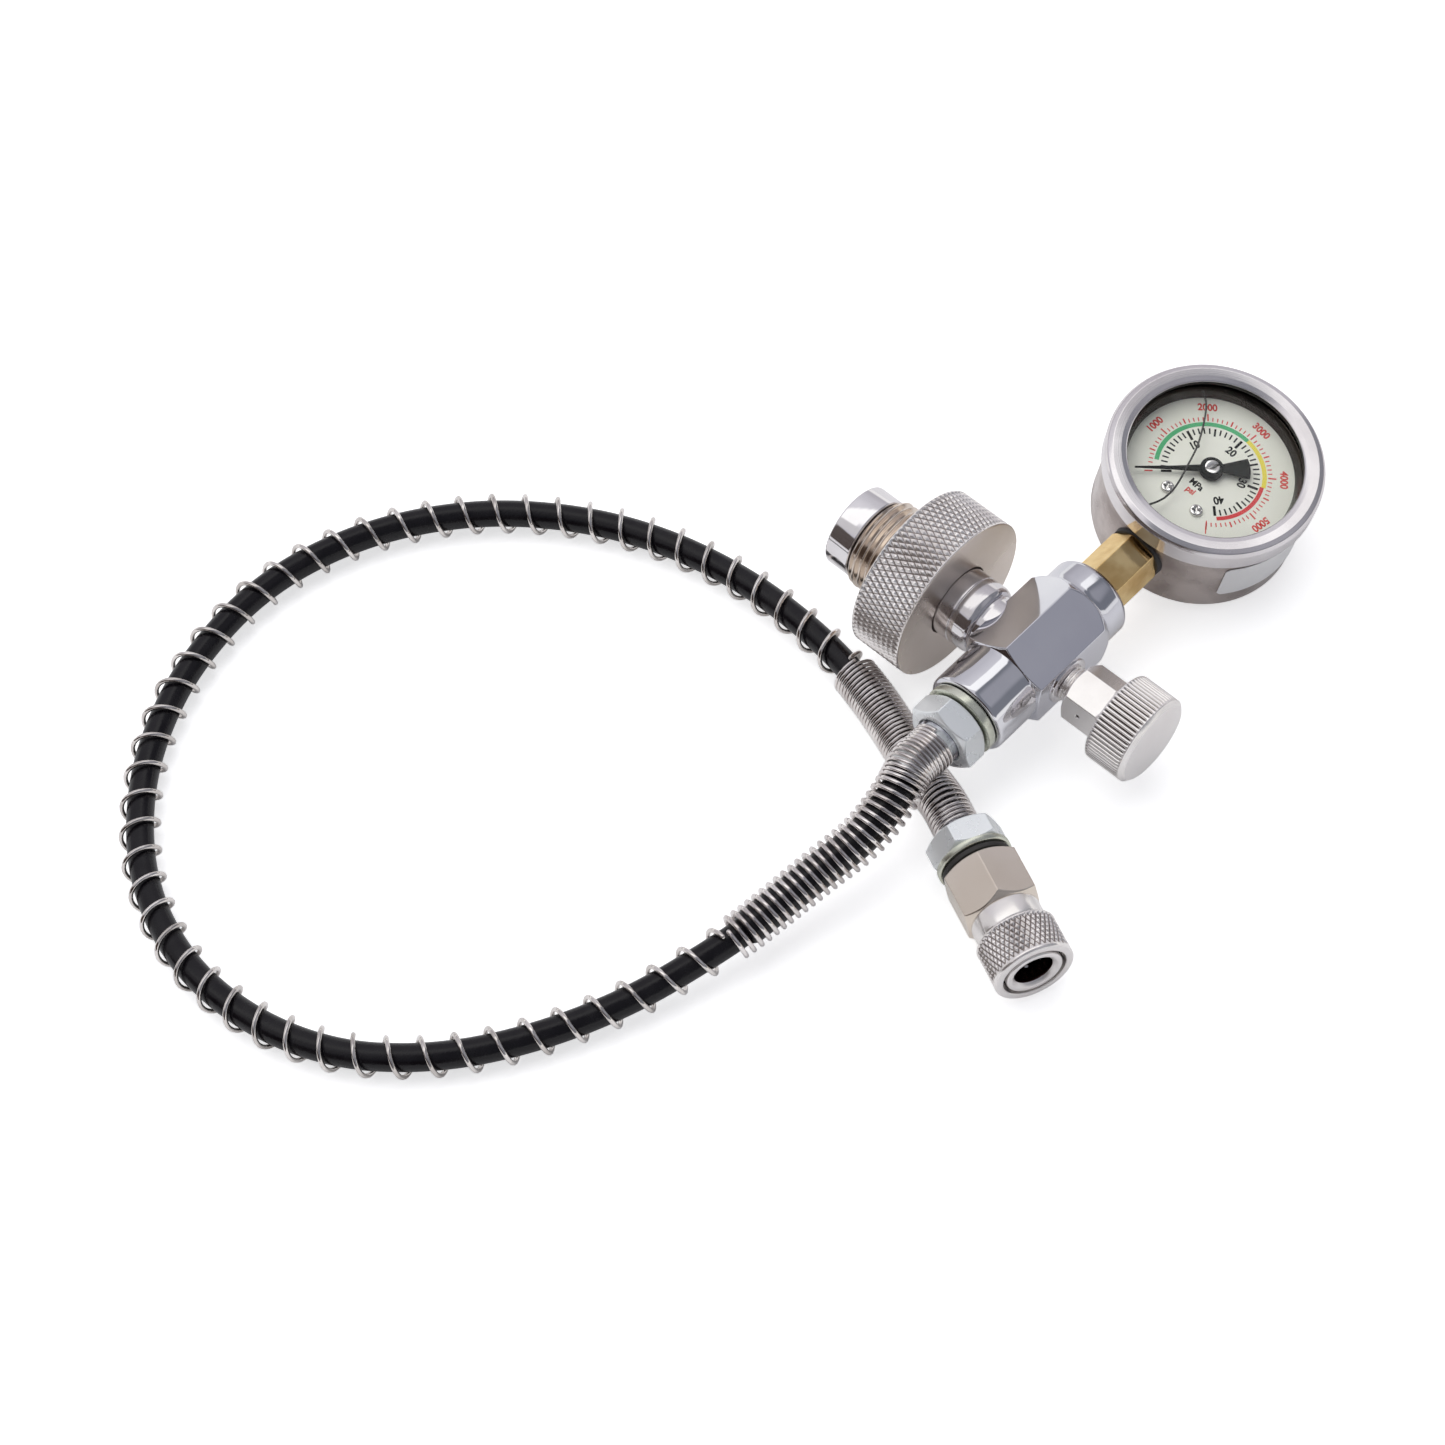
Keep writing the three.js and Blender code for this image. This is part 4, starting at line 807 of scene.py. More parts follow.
def add_coupler_shell():
    """Hexagonal body, collar and nose, with painted shade in the bore."""
    start, hex_end, collar_end, face, half = 9.7, 22.8, 28.0, 38.5, 8.5
    first_corner = rad(34.4 + 30)
    rows = [(start, 0), (start, 7.9),
            *level(half, (start + 0.02, start + 1.6, 14), (start + 1.8, hex_end - 2.4, 12),
                   (hex_end - 2.3, hex_end - 0.03, 20)),
            (hex_end, 8.02), (hex_end + 0.15, 8.05), (hex_end + 0.6, 8.1),
            (collar_end - 0.6, 8.1), (collar_end - 0.2, 8.0), (collar_end, 7.8),
            (collar_end, 6.65), (face - 0.5, 6.65), (face - 0.16, 6.55), (face, 6.3),
            (face, 5.6), (face - 0.12, 5.3), (face - 0.9, 4.6), (face - 1.2, 4.5), (27.0, 4.5),
            (27.0, 0)]
    envelope = [(start, 8.15), (start + 1.1, 10.0), (hex_end - 1.5, 10.0), (hex_end, 8.1)]
    return turned_piece(
        "coupler_shell", np.array(rows, float), hex_turns(first_corner), COUPLER,
        [nickel_hex, bore_painted_shade, nickel_face, nickel_plain], "coupler_body",
        relief=hex_relief(half, 0.35, first_corner, envelope, start + 0.01, hex_end - 0.01, 8.4),
        limits=[(26.9, 37.7, 0, 4.62), (collar_end - 0.01, 40, 4.62, 9),
                (hex_end, collar_end, 6, 9)], crease=50)


def add_coupler_sleeve():
    low, high, outer, teeth = 28.3, 38.5, 9.4, 45
    profile = rounded([(low, 8.6), (low, outer, 0.35), (high, outer, 0.7), (high, 7.5, 0.25),
                       (35.0, 7.5), (35.0, 6.95), (33.5, 6.95), (33.5, 8.6)], 0.12, loop=True)
    return knurled_piece(
        "coupler_sleeve_knurled", subdivided(profile, 0.2, low, high), teeth * 12,
        knurl(teeth, outer, low + 0.5, high - 1.0, 0.38, lean=0.55, sharp=1.15, edge=0.35),
        COUPLER, [nickel_knurl, nickel_face, nickel_groove_shade], "coupler_sleeve",
        [(high - 0.3, high + 0.1, 7.4, 9.2)], (low + 0.7, high - 1.2, 8.8, outer - 0.28),
        body="sleeve")


def add_balls(count=6):
    balls = []
    half_circle = [(-1.2 * math.cos(k), 1.2 * math.sin(k)) for k in np.linspace(0, math.pi, 15)]
    for number in range(count):
        turn = FULL_TURN * number / count
        points, faces = turned(half_circle, 24)
        points = points + (5.25 * math.sin(turn), 33.2, 5.25 * math.cos(turn))
        balls.append(make_piece(f"coupler_ball_{number + 1}", (points, faces), COUPLER,
                                [steel_pin], f"locking_ball_{number + 1}"))
    return balls


def add_coupler():
    """Nut, seal, shell, knurled sleeve, balls and hidden rings of the coupler."""
    nut = hose_nut("coupler_nut", 6.3, rad(23), COUPLER, "Y", 0.0, 15.7,
                   "hose_nut_coupler_end", flange=(8.8, 7.8))
    seal = lathed("coupler_seal_ring", block(8.1, 9.4, 5.4, 8.3), 0.3, 96, COUPLER, rubber,
                  "coupler_seal", loop=True)
    shell = add_coupler_shell()
    sleeve = add_coupler_sleeve()
    turns, steps = 5, 28
    spiral = [(7.45 * math.sin(FULL_TURN * k / steps), 28.8 + 4.0 * k / (turns * steps),
               7.45 * math.cos(FULL_TURN * k / steps)) for k in range(turns * steps + 1)]
    spring = make_piece("sleeve_spring_coils", tube(spiral, 0.33, 8), COUPLER, [steel_wire],
                        "sleeve_spring", crease=60)
    stop = lathed("sleeve_snap_ring", block(35.3, 36.1, 6.85, 7.15), 0.1, 72, COUPLER,
                  ink_black, "sleeve_stop_ring", loop=True, slot="spring_steel")
    balls = add_balls()
    o_ring = turned_piece("coupler_bore_ring", round_section(30.2, 4.8, 0.6, 14), 60, COUPLER,
                          [rubber], "bore_o_ring", loop=True)
    return [nut, seal, shell, sleeve, spring, stop, o_ring, *balls]


coupler_pieces = add_coupler()


# ---- valve body
def add_valve_body():
    """Hexagonal bar with a collar at each end, the connector's neck and the bleed port."""
    rows = [(-10.3, 0.0), (-10.3, 5.0), (-22.1, 5.0), (-22.3, 5.25), (-22.3, 9.3),
            (-22.26, 9.6), (-22.12, 9.9), (-21.9, 10.1), (-21.6, 10.24), (-21.2, 10.3),
            (-16.0, 10.3), (-11.0, 10.3), (-10.25, 10.3), (-10.05, 10.34),
            *level(10.9, (-10.0, -8.4, 15), (-8.0, 11.2, 30), (11.4, 15.0, 30)),
            (15.04, 10.3), (15.3, 10.22), (16.5, 10.2), (20.6, 10.2), (20.95, 10.14),
            (21.3, 9.98), (21.7, 9.7), (22.1, 9.3), (22.45, 8.8), (22.68, 8.45), (22.8, 8.2),
            (22.8, 5.2), (22.7, 5.0), (14.0, 5.0), (14.0, 0.0)]
    envelope = [(-10.05, 10.6), (-9.2, 12.7), (11.9, 12.7), (12.9, 12.2), (14.0, 11.4),
                (14.7, 10.75), (15.02, 10.3)]
    turned_piece("valve_bar", np.array(rows, float), hex_turns(0.0), VALVE,
                 [chrome, chrome_collar], "valve_body", axis="X",
                 relief=hex_relief(10.75, 0.28, 0.0, envelope, -10.02, 15.02, 10.85, 0.2),
                 limits=[(-23, -10.04, 0, 12), (15.02, 23, 0, 12)], crease=50)
    shoulder = [(14.2 - 2.0 * math.cos(turn), 7.3 + 1.4 * math.sin(turn), 0)
                for turn in np.linspace(0, math.pi / 2, 9)]
    lathed("valve_neck",
           [(2.0, 0), (2.0, 7.2, 0), (11.6, 7.2, 0.5), *shoulder, (17.35, 8.7, 0.1),
            (17.45, 8.5, 0.06), (17.75, 8.5, 0.06), (17.85, 8.7, 0.1), (22.3, 8.7, 0.2),
            (22.3, 5.0, 0), (13.0, 5.0, 0), (13.0, 0)], 0.2, 144, VALVE, chrome_neck,
           "valve_body", bends=6)
    lathed("bleed_boss",
           [(-10.5, 0), (-10.5, 6.0), (-11.2, 5.8, 0.3), (-11.6, 5.2, 0.3), (-11.6, 4.1, 0),
            (-5.0, 4.1, 0), (-5.0, 0)], 0.1, 96, VALVE, chrome_neck, "valve_body")


# ---- handwheel and nose
def add_handwheel():
    """Knurled wheel and its threaded spigot with a true helix."""
    low, high, outer, teeth = 21.6, 35.8, 20.75, 84
    profile = rounded([(low + 3, 9.0, 0), (low, 9.0, 0.25), (low, outer, 0.45),
                       (high, outer, 0.5), (high, 10.6, 0.2), (high, 7.7, 0), (low + 3, 7.7, 0)],
                      0.1, loop=True)
    knurled_piece(
        "handwheel_rim", subdivided(profile, 0.25, low, high), teeth * 12,
        knurl(teeth, outer, low + 0.35, high - 0.35, 0.42, lean=0.52, sharp=1.15, edge=0.35),
        VALVE, [nickel_knurl, nickel_turned, nickel_groove_shade], "din_handwheel",
        [(low - 0.1, low + 0.35, 0, 20.6), (high - 0.35, high + 0.1, 0, 20.6),
         (low, high, 0, 18)], (low + 0.5, high - 0.5, 18, outer - 0.33), body="handwheel")
    end, crest, root, pitch = 46.3, 11.45, 10.35, 1.814
    rows = [(high - 2, 7.7), (high - 2, 10.2), *level(crest, (high - 1.9, end - 0.02, 96)),
            (end, 10.0), (end, 7.7)]

    def thread(along, turn, r):
        phase = (along / pitch - turn / FULL_TURN) % 1.0
        height = np.clip((0.5 - np.abs(phase - 0.5)) * 2 / 0.86 - 0.02, 0, 1)
        height = smooth_step(height) * 0.35 + height * 0.65
        cut = np.minimum(root + (crest - root) * height, 10.1 + (end - along) * 1.1)
        relief_groove = np.clip((along - high - 1.6) / 0.7, 0, 1)
        return np.where(r > 11.4, root + (cut - root) * relief_groove, r)
    turned_piece("handwheel_thread", rows, 180, VALVE, [nickel_thread], "din_handwheel",
                 relief=thread, loop=True, crease=60, body="handwheel")


def add_nose():
    lathed("nose_shell",
           [(13.3, 0), (13.3, 4.7, 0.2), (21.6, 4.7, 0.1), (21.6, 7.4, 0.1), (46.6, 7.4, 0.3),
            (46.6, 10.45, 0.5), (53.2, 10.45, 0.7), (53.2, 9.45, 0.1), (51.4, 9.4, 0.1),
            (51.4, 6.6, 0.1), (53.2, 6.6, 0.2), (53.2, 2.6, 0.3), (25.3, 2.6, 0), (25.3, 0)],
           0.2, 160, VALVE, chrome_neck, "connector_nose", bends=6)
    turned_piece("nose_seal_ring", round_section(52.65, 8.0, 1.1, 20), 96, VALVE, [rubber],
                 "nose_face_seal", loop=True)


# ---- bleed valve
def add_bleed_housing():
    """Hexagon with a vent hole and a threaded stem."""
    low, high, half, port = -24.2, -14.3, 6.5, -10.6
    first_corner = rad(-22 + 30)
    rows = [(low + 3, 0), (low + 3, 2.4), (low + 0.1, 2.4), (low, 2.6), (low, half - 0.6),
            *level(half, (low + 0.02, low + 1.5, 14), (low + 1.7, high - 1.7, 14),
                   (high - 1.5, high - 0.02, 14)),
            (high, half - 0.6), (high, 4.0), *level(4.45, (high + 0.1, port, 40)), (port, 0)]
    envelope = [(low, half - 0.15), (low + 0.9, 7.75), (high - 0.9, 7.75), (high, half - 0.15)]
    hexed = hex_relief(half, 0.3, first_corner, envelope, low + 0.01, high - 0.01, half - 0.1,
                       0.18)

    def relief(along, turn, r):
        phase = (along / 0.95 - turn / FULL_TURN) % 1.0
        thread = 3.95 + 0.5 * np.clip(tooth(phase) * 1.5, 0, 1)
        return np.where((r > 4.4) & (r < 4.5), thread, hexed(along, turn, r))
    housing = turned_piece("bleed_hex", rows, hex_turns(first_corner), VALVE, [nickel_plain],
                           "bleed_housing", relief=relief, crease=50)
    vent = (VALVE @ Matrix.Translation((0, -19 * MM, 0)) @ Matrix.Rotation(rad(-22 - 60), 4, "Y")
            @ Matrix.Translation((0, 0, 3.2 * MM)))
    tool = make_mesh("vent_tool", turned(block(0, 8, 0, 0.55), 24, axis="Z"), vent)
    drilled(housing, [tool])
    # painted shade: a dark plug just inside the vent hole
    turned_piece("vent_painted_shade", block(0, 3.0, 0, 0.56), 24, vent, [bore_painted_shade], axis="Z")


def add_bleed_knob():
    end, start, outer, teeth = -35.6, -24.8, 11.0, 60
    profile = rounded([(end, 0), (end, 9.9, 0.25), (end + 0.95, outer, 0.25),
                       (start, outer, 0.6), (start, 2.3, 0.2), (end + 3, 2.3, 0), (end + 3, 0)],
                      0.1)
    knurled_piece(
        "bleed_knob_fluted", subdivided(profile, 0.45, end + 0.9, start), teeth * 8,
        knurl(teeth, outer, end + 1.15, start - 0.3, 0.75, lean=0.0, sharp=1.7, edge=0.55),
        VALVE, [nickel_plain, nickel_face, nickel_groove_shade], "bleed_knob",
        [(end - 0.1, end + 0.3, 0, 10.2)], (end + 1.3, start - 0.4, 0, outer - 0.34),
        loop=False, crease=CREASE, body="bleed_knob")


# ---- hose end at the body
def add_body_end():
    hose_nut("body_nut", 6.5, rad(10), VALVE, "X", -31.4, -12.3, "hose_nut_body_end")
    lathed("bonded_ring_steel",
           [(-24.6, 7.2), (-24.6, 9.1, 0.2), (-22.6, 9.1, 0.2), (-22.6, 7.2)], 0.1, 110, VALVE,
           zinc_green, "bonded_seal_ring", axis="X", loop=True)
    lathed("bonded_ring_rubber", block(-24.6, -22.6, 5.4, 6.8), 0.3, 80, VALVE, rubber,
           "bonded_seal_rubber", axis="X", loop=True)


add_valve_body()
add_handwheel()
add_nose()
add_bleed_housing()
add_bleed_knob()
add_body_end()

# ---- gauge
DIAL_BACK, DIAL_FRONT = 7.3, 7.8
INK_LOW, INK_HIGH = DIAL_FRONT + 0.005, DIAL_FRONT + 0.035
FIGURE_HEIGHT = INK_LOW + 0.02
ZERO_TURN = 135.0               # where the scale starts, in degrees from the gauge's X
SWEEP = 270.0
FULL_SCALE = 40.0               # megapascals
FULL_FIGURE = 38.6              # where the figure 40 stands, a little before its mark
PSI_PER_MPA = 145.04
LABEL_MIDDLE, LABEL_HALF = rad(-100), rad(30)
LABEL_LOW, LABEL_HEIGHT = -6.0, 11.5
LABEL_ROWS, LABEL_COLUMNS = 14, 36


def scale_turn(pressure):
    return rad(ZERO_TURN - SWEEP * pressure / FULL_SCALE)


def add_gauge_shell():
    """Case, rolled bezel, dark rings inside it (the rubber window gasket and a ring of painted
    shade over the case's inner wall) and the window.
    """
    lathed("case_shell",
           [(-13.0, 0), (-13.0, 24.3, 2.5), (9.2, 24.3, 0.1), (9.2, 23.5, 0.1),
            (-12.2, 23.5, 1.8), (-12.2, 0)], 0.2, 180, GAUGE, stainless_case, "gauge_case",
           axis="Z", bends=8)
    lathed("bezel_ring",
           [(8.4, 24.6), (8.4, 25.6, 0.35), (13.4, 25.7, 0.3), (14.35, 25.15, 0.7),
            (14.65, 24.0, 0.8), (14.5, 22.0, 0.8), (14.3, 20.95, 0.35), (14.05, 20.6, 0.12),
            (13.75, 20.85, 0.1), (13.7, 23.2, 0.1), (12.9, 24.6)], 0.2, 200, GAUGE,
           stainless_rim, "gauge_bezel", axis="Z", bends=6, loop=True)
    # painted shade over the case's inner wall, below the window
    lathed("dial_surround", [(7.85, 19.5), (7.85, 23.45), (10.7, 23.45), (10.7, 20.9, 0.4)],
           0.1, 160, GAUGE, inner_wall_shade, "lens_gasket", axis="Z", loop=True)
    lathed("window_gasket", block(12.64, 13.6, 20.75, 23.0), 0.15, 160, GAUGE, rubber,
           "lens_gasket", axis="Z", loop=True)
    window = lathed("window_pane", block(10.8, 12.6, 0, 24.0), 0.2, 160, GAUGE, glass,
                    "gauge_lens", axis="Z")
    window.visible_shadow = False
    window.visible_diffuse = False


def add_label():
    """Blank label round the case's near side, with rounded corners."""
    rows, columns = LABEL_ROWS + 1, LABEL_COLUMNS + 1
    points = []
    for radius in (24.36, 24.54):
        for i in range(rows):
            z = LABEL_LOW + LABEL_HEIGHT * i / LABEL_ROWS
            edge = min(z - LABEL_LOW, LABEL_LOW + LABEL_HEIGHT - z, 1.0)
            inset = (1 - math.sqrt(max(0.0, 1 - (1 - edge) ** 2))) / radius
            for k in range(columns):
                turn = (LABEL_MIDDLE - LABEL_HALF + inset
                        + 2 * (LABEL_HALF - inset) * k / LABEL_COLUMNS)
                points.append((radius * math.cos(turn), radius * math.sin(turn), z))
    layer = rows * columns
    faces = [*grid_faces(rows, columns, around=False),
             *grid_faces(rows, columns, around=False, start=layer)]
    last_row = (rows - 1) * columns
    rim = [*range(LABEL_COLUMNS), *range(LABEL_COLUMNS, last_row, columns),
           *range(last_row + LABEL_COLUMNS, last_row, -1), *range(last_row, 0, -columns)]
    faces += [(a, b, b + layer, a + layer) for a, b in zip(rim, rim[1:] + rim[:1])]
    make_piece("side_label", (points, faces), GAUGE, [paper], "case_label")


def arc_band(inner, outer, start, end, steps=60):
    corners = [(outer, INK_LOW), (outer, INK_HIGH), (inner, INK_HIGH), (inner, INK_LOW)]
    points = [(radius * math.cos(turn), radius * math.sin(turn), z)
              for turn in np.linspace(start, end, steps) for radius, z in corners]
    return points, capped_faces(steps, len(corners))


def tick(turn, inner, outer, width):
    along = np.array([math.cos(turn), math.sin(turn)])
    aside = np.array([-along[1], along[0]]) * width / 2
    outline = [along * inner - aside, along * outer - aside, along * outer + aside,
               along * inner + aside]
    return prism(outline, INK_LOW, INK_HIGH)


def figures(text, size, turn, radius, squeeze=0.9):
    """Points and faces of figures on the dial, upright towards their turn."""
    curve = bpy.data.curves.new("figures", "FONT")
    curve.body, curve.size, curve.extrude, curve.offset = text, size, 0.02, 0.03 * size
    curve.align_x = curve.align_y = "CENTER"
    holder = add_object("figures", curve)
    bpy.context.view_layer.update()
    mesh = bpy.data.meshes.new_from_object(
        holder.evaluated_get(bpy.context.evaluated_depsgraph_get()))
    points = np.array([tuple(vertex.co) for vertex in mesh.vertices])
    faces = [tuple(face.vertices) for face in mesh.polygons]
    bpy.data.objects.remove(holder)
    bpy.data.curves.remove(curve)
    bpy.data.meshes.remove(mesh)
    x, y, z = ((points - (points.max(0) + points.min(0)) / 2) * (squeeze, 1, 1)).T
    c, s = math.cos(turn - math.pi / 2), math.sin(turn - math.pi / 2)
    return np.stack([x * c - y * s + radius * math.cos(turn),
                     x * s + y * c + radius * math.sin(turn), z + FIGURE_HEIGHT], axis=1), faces


def add_dial():
    """Dial plate with its megapascal scale in black, psi scale in red and coloured bands."""
    lathed("dial_plate", block(DIAL_BACK, DIAL_FRONT, 0, 21.3), 0.1, 160, GAUGE, dial_white,
           "gauge_dial", axis="Z")
    black = [tick(scale_turn(value), {0: 9.0, 5: 9.5}.get(value % 10, 10.0), 11.5,
                  {0: 0.62, 5: 0.48}.get(value % 10, 0.36)) for value in range(0, 41)]
    black += [figures(str(value), 2.7, scale_turn(min(value, FULL_FIGURE)), 7.6)
              for value in (10, 20, 30, 40)]
    black.append(figures("MPa", 2.3, 0.0, -4.9))
    make_piece("dial_marks_black", merged(black), GAUGE, [ink_black])
    red = []
    for hundreds in range(0, 61):
        outer = 15.3 if hundreds % 10 == 0 else 14.8 if hundreds % 5 == 0 else 14.4
        red.append(tick(scale_turn(hundreds * 100 / PSI_PER_MPA), 13.4, outer,
                        0.36 if hundreds % 5 == 0 else 0.26))
    red.append(tick(scale_turn(6000 / PSI_PER_MPA), 13.0, 16.4, 0.24))
    red += [figures(str(value), 2.5, scale_turn(value / PSI_PER_MPA), 17.1, 0.92)
            for value in range(1000, 6000, 1000)]
    red.append(figures("psi", 2.2, 0.0, -7.3))
    make_piece("dial_marks_red", merged(red), GAUGE, [ink_red])
    for name, inner, outer, start, end, finish in (
            ("band_safe", 12.05, 13.1, 2.0, 20.6, ink_green),
            ("band_caution", 12.05, 13.1, 20.6, 29.4, ink_yellow),
            ("band_danger", 11.75, 12.7, 29.4, 39.8, ink_scarlet)):
        make_piece(name, arc_band(inner, outer, scale_turn(start), scale_turn(end)), GAUGE,
                   [finish])


def add_needle():
    """Needle, hub and slotted cap, in the gauge's frame turned to the zero mark."""
    place = GAUGE @ Matrix.Rotation(rad(ZERO_TURN), 4, "Z")
    tail = [(-9.0 * math.cos(rad(t)), 9.0 * math.sin(rad(t))) for t in range(-17, 18, 2)]
    outline = [(17.9, 0.14), (17.9, -0.14), (9.0, -0.42), (3.0, -0.85), (-2.4, -1.0),
               *[(x, -y) for x, y in reversed(tail)], (-2.4, 1.0), (3.0, 0.85), (9.0, 0.42)]
    make_piece("needle_blade", prism(outline, 9.1, 9.5), place, [ink_black], "gauge_needle",
               body="needle", crease=30)
    lathed("needle_hub", [(8.3, 0), (8.3, 2.75, 0.15), (10.0, 2.75, 0.45), (10.0, 2.0, 0.05),
                          (9.75, 1.95, 0.05), (9.75, 0)], 0.1, 72, place, ink_black,
           "gauge_needle", axis="Z", body="needle")
    cap = lathed("needle_cap", [(9.5, 0), (9.5, 1.75), (10.15, 1.75, 0.12), (10.2, 0)], 0.05,
                 64, place, steel_pin, "gauge_needle", axis="Z", body="needle")
    drilled(cap, [make_mesh("slot_tool", prism(bar_outline(3, 0.26), 9.85, 11),
                            place @ Matrix.Rotation(rad(20), 4, "Z"))])


def add_dial_screws():
    for number, side in ((1, 4.3), (2, -4.3)):
        place = GAUGE @ Matrix.Translation((-10.4 * MM, side * MM, 0))
        screw = lathed(f"dial_screw_head_{number}",
                       [(-2.9, 0), (-2.9, 0.7), (7.9, 0.7, 0), (7.9, 1.55, 0.05),
                        (8.5, 1.45, 0.3), (8.6, 0)], 0.08, 48, place, steel_pin,
                       f"dial_screw_{number}", axis="Z")
        drilled(screw, [make_mesh(f"cross_tool_{k}", prism(bar_outline(1.05, 0.17), 8.15, 9.5),
                                  place @ Matrix.Rotation(rad(90 * k + 17 * number), 4, "Z"))
                        for k in range(2)])


def add_liquid_edge():
    """The edge of the air bubble in the damping liquid, just behind the window, as a thin line of
    painted shade.
    """
    path = [(13.9, 14.6), (12.7, 12.9), (11.4, 11.4), (9.3, 10.0), (6.8, 8.5), (3.7, 6.9),
            (1.3, 5.8), (-1.3, 4.95), (-4.2, 4.15), (-7.0, 3.3), (-9.7, 2.6), (-12.1, 2.25),
            (-14.6, 2.3), (-17.0, 2.9), (-19.6, 4.2)]
    path = np.array([(x, y, 10.5) for x, y in path])
    fine = resampled(path, np.linspace(0, len(path) - 1, 90))
    for _ in range(6):
        fine[1:-1] = (fine[:-2] + 2 * fine[1:-1] + fine[2:]) / 4
    make_piece("bubble_edge", tube(fine, 0.24, WIRE_SIDES), GAUGE, [bubble_edge_shade])


def add_gauge_socket():
    """Brass stem with its hexagon, the dark pad where it enters the case, and the plug."""
    low, high, half, first_corner = -38.6, -24.55, 6.0, rad(19)
    rows = [(-46.0, 0), (-46.0, 4.6), (low - 0.9, 4.6), (low - 0.1, 4.6),
            (low - 0.1, half - 0.9),
            *[(low + t, half) for t, _ in level(half, (0.0, 1.5, 14), (1.8, 12.4, 14),
                                                (12.6, 14.0, 12))],
            (high, half - 0.6), (high, 4.2), (-18.4, 4.2), (-18.4, 0)]
    envelope = [(low, half - 0.2), (low + 1.0, 7.1), (high - 0.7, 7.1), (high, half)]
    turned_piece("stem_hex", rows, hex_turns(first_corner), GAUGE, [brass], "gauge_socket",
                 axis="X", crease=50, relief=hex_relief(half, 0.3, first_corner, envelope,
                                                        low - 0.01, high, half - 0.05, 0.18))
    lathed("stem_pad", [(-24.75, 4.3), (-24.75, 6.7, 0.2), (-23.0, 6.9, 0.1), (-23.0, 4.3)],
           0.1, 72, GAUGE, rubber, "stem_gasket", axis="X", loop=True)
    lathed("filling_plug", [(22.1, 0), (22.1, 3.2), (24.6, 3.2, 0), (24.6, 4.4, 0.1),
                            (25.5, 4.2, 0.4), (25.5, 0)], 0.2, 64, GAUGE, rubber, "fill_plug",
           axis="X")


add_gauge_shell()
add_label()
add_dial()
add_needle()
add_dial_screws()
add_liquid_edge()
add_gauge_socket()

# ---- hidden pieces of the frame
HIDDEN = {
    brass: ["inlet_filter"], seal_plastic: ["bleed_tip_seal"], rubber: ["bleed_packing"],
    steel_pin: ["bleed_spindle", "sector_pivot_pin", "pinion_shaft"],
    dull_brass: ["movement_front_plate", "movement_rear_plate", "movement_post_1",
                 "movement_post_2", "sector_gear", "bourdon_tube", "tube_tip"],
    chrome: ["hose_ferrule_body_end", "hose_ferrule_coupler_end"]}
for finish, names in HIDDEN.items():
    for name in names:
        for slot in frame["nodes"][name].material_slots:
            slot.material = finish

# ---- floor and light
FLOOR_HALF = 6.0                # metres
FLOOR_DROP = 0.0002             # just under the piece's lowest point
FLOOR_LIFT = 0.62               # glow that keeps the floor white for the camera
FLOOR_GLEAM = 0.12              # and in reflections
ROOM_STRENGTH = 0.95
LAMP_PLACE, LAMP_AIM = Vector((0.1, 0.55, 1.5)), Vector((-0.05, 0.05, 0))
LAMP_SIZE, LAMP_POWER = (2.2, 1.6), 13.0
WHITE = (1, 1, 1, 1)


def make_floor():
    half = FLOOR_HALF
    mesh = bpy.data.meshes.new("table")
    mesh.from_pydata([(-half, -half, 0), (half, -half, 0), (half, half, 0), (-half, half, 0)],
                     [], [(0, 1, 2, 3)])
    floor = add_object("table", mesh)
    floor.location.z = -FLOOR_DROP
    material, tree, shader = start_material("table_top")
    path = node(tree, "LightPath").outputs
    seen = calculate(tree, "MAXIMUM", path["Is Camera Ray"], path["Is Transmission Ray"])
    lift = calculate(tree, "MULTIPLY", seen, FLOOR_LIFT)
    feed(tree, shader, {
        "Base Color": (0.86, 0.86, 0.86, 1), "Roughness": 0.9, "Specular IOR Level": 0.1,
        "Emission Color": WHITE,
        "Emission Strength": calculate(tree, "MULTIPLY_ADD", path["Is Glossy Ray"],
                                       FLOOR_GLEAM, lift)})
    mesh.materials.append(material)


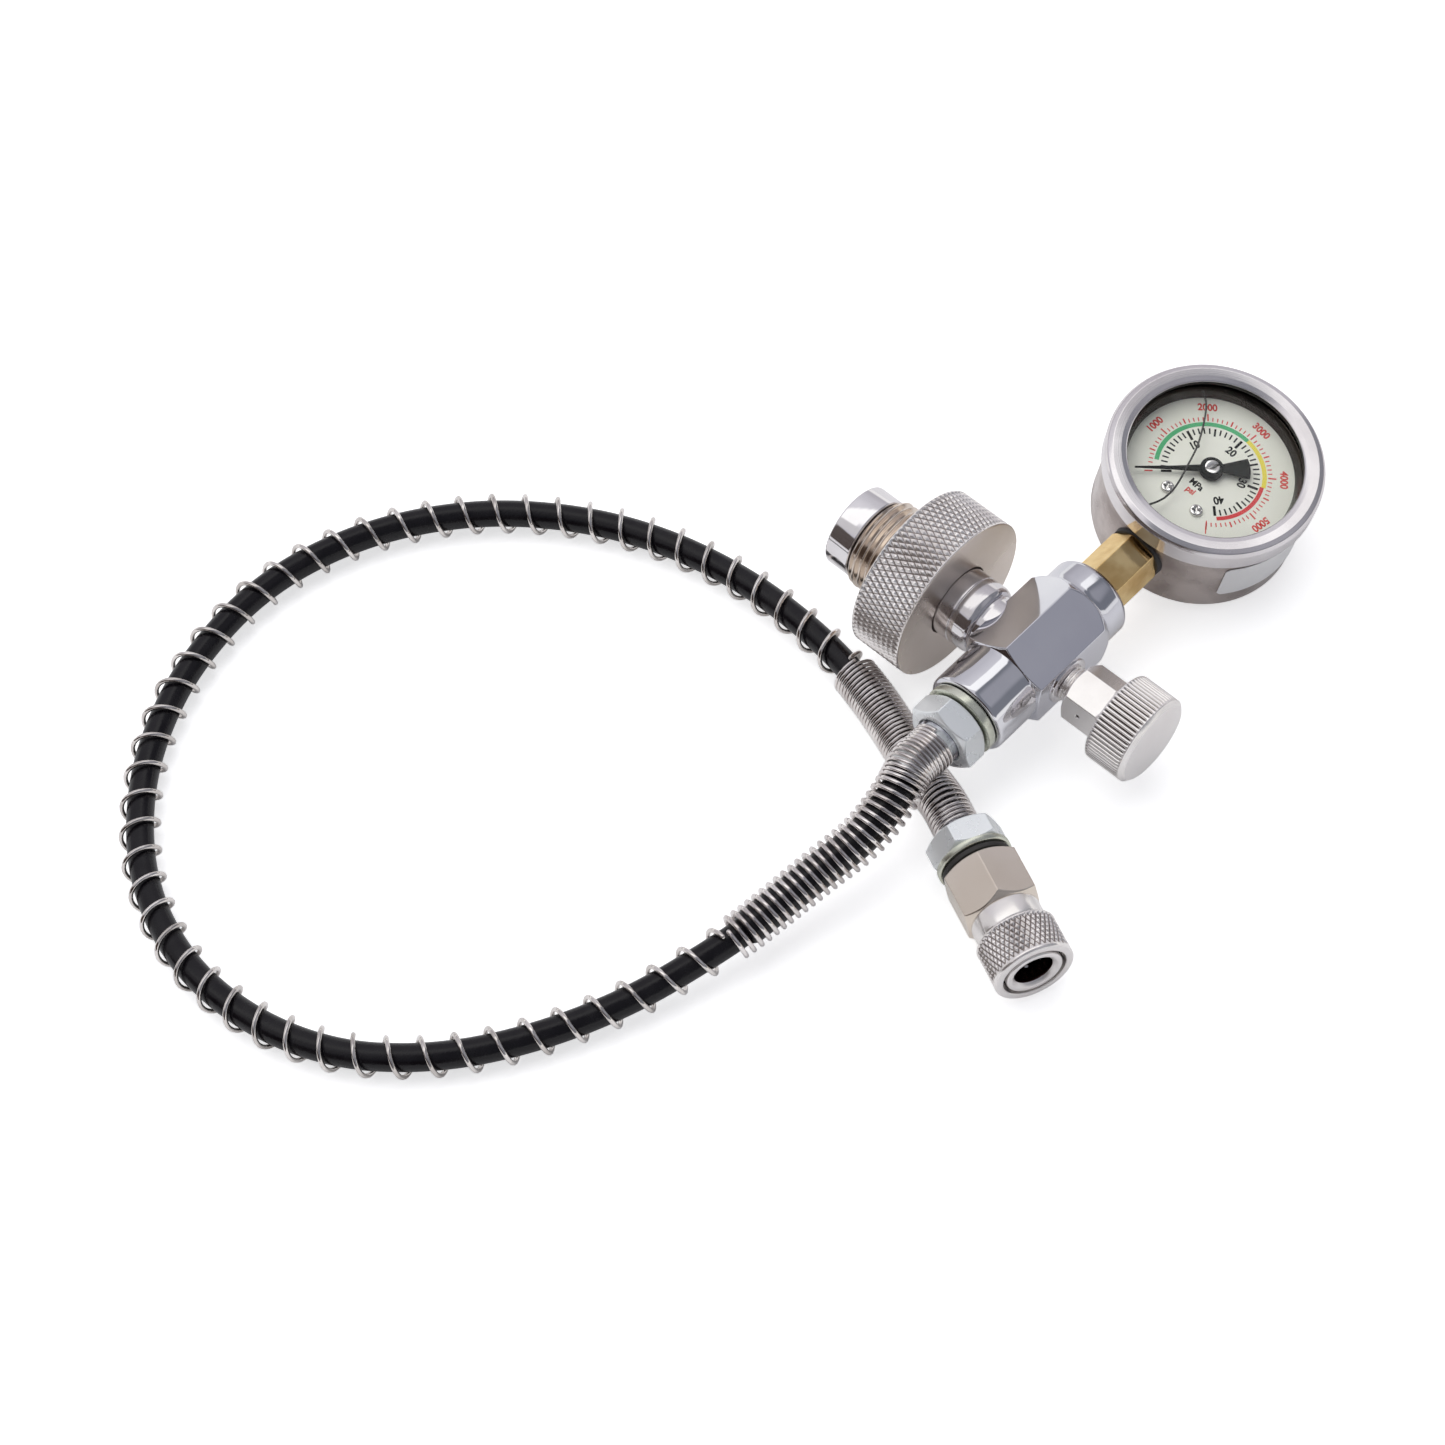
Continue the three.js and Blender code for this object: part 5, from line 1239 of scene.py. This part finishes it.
def make_surroundings():
    """A pale room: a bright ceiling strip, white behind, a grey hood on the near side."""
    world = bpy.data.worlds.new("studio")
    bpy.context.scene.world = world
    world.use_nodes = True
    tree = world.node_tree
    direction = node(tree, "TexCoord").outputs["Generated"]

    def smooth(value, low, high):
        return spread(tree, value, low, high, interpolation_type="SMOOTHSTEP")

    def along(toward):
        return node(tree, "VectorMath", {0: direction, 1: toward},
                    operation="DOT_PRODUCT").outputs["Value"]

    def slab(across, low, high, soft):
        """Mask of a slice of the surroundings between two heights along a direction."""
        place = along(across)
        return both(smooth(place, low - soft, low + soft), smooth(place, high + soft, high - soft))

    def both(first, second):
        return calculate(tree, "MULTIPLY", first, second)

    ramp = node(tree, "ValToRGB")
    ramp.color_ramp.interpolation = "EASE"
    stops = [(0.0, (0.80, 0.80, 0.82)), (0.44, (0.86, 0.86, 0.88)), (0.50, (1.0, 1.0, 1.0)),
             (0.58, (1.0, 1.0, 1.0)), (0.62, (0.50, 0.49, 0.53)), (0.80, (0.62, 0.61, 0.66)),
             (0.95, (0.76, 0.75, 0.80)), (1.0, (0.80, 0.79, 0.83))]
    points = ramp.color_ramp.elements
    while len(points) < len(stops):
        points.new(0.5)
    for point, (place, colour) in zip(points, stops):
        point.position = place
        point.color = (*colour, 1)
    height = node(tree, "SeparateXYZ", {"Vector": direction}).outputs["Z"]
    feed(tree, ramp, {"Fac": spread(tree, height, -1.0, 1.0)})
    x, y, z = (1, 0, 0), (0, 1, 0), (0, 0, 1)
    near_hood = both(slab(y, -2.0, -0.02, 0.035), slab(z, 0.17, 2.0, 0.03))
    hood_window = smooth(along(tuple(unit((0.35, -0.51, 0.785)))), math.cos(rad(25)),
                         math.cos(rad(13)))
    dark_wall = both(slab(x, -2.0, -0.70, 0.05), slab(z, -0.06, 0.56, 0.03))
    pale_side = both(slab(x, -0.72, -0.44, 0.04), slab(y, -0.1, 2.0, 0.1))
    strip = both(slab((0.35, 1, 0), 0.12, 0.435, 0.03),
                 both(slab(x, -0.46, 0.62, 0.04), slab(z, 0.3, 2.0, 0.05)))
    colour = ramp.outputs["Color"]
    for mask, tone in ((near_hood, (0.22, 0.23, 0.265)), (hood_window, (0.37, 0.375, 0.42)),
                       (pale_side, (0.66, 0.65, 0.67)), (dark_wall, (0.055, 0.038, 0.032)),
                       (strip, (1.25, 1.25, 1.25))):
        colour = mixed(tree, mask, colour, (*tone, 1))
    seen = node(tree, "LightPath").outputs["Is Camera Ray"]
    feed(tree, tree.nodes["Background"], {"Color": mixed(tree, seen, colour, WHITE),
                                          "Strength": ROOM_STRENGTH})


def make_lamp():
    data = bpy.data.lights.new("high_lamp", "AREA")
    data.shape, data.energy = "RECTANGLE", LAMP_POWER
    data.size, data.size_y = LAMP_SIZE
    lamp = add_object("high_lamp", data)
    lamp.location = LAMP_PLACE
    lamp.rotation_mode = "QUATERNION"
    lamp.rotation_quaternion = (LAMP_AIM - LAMP_PLACE).to_track_quat("-Z", "Y")
    lamp.visible_glossy = False


make_floor()
make_surroundings()
make_lamp()
bpy.context.scene.view_settings.view_transform = "Standard"
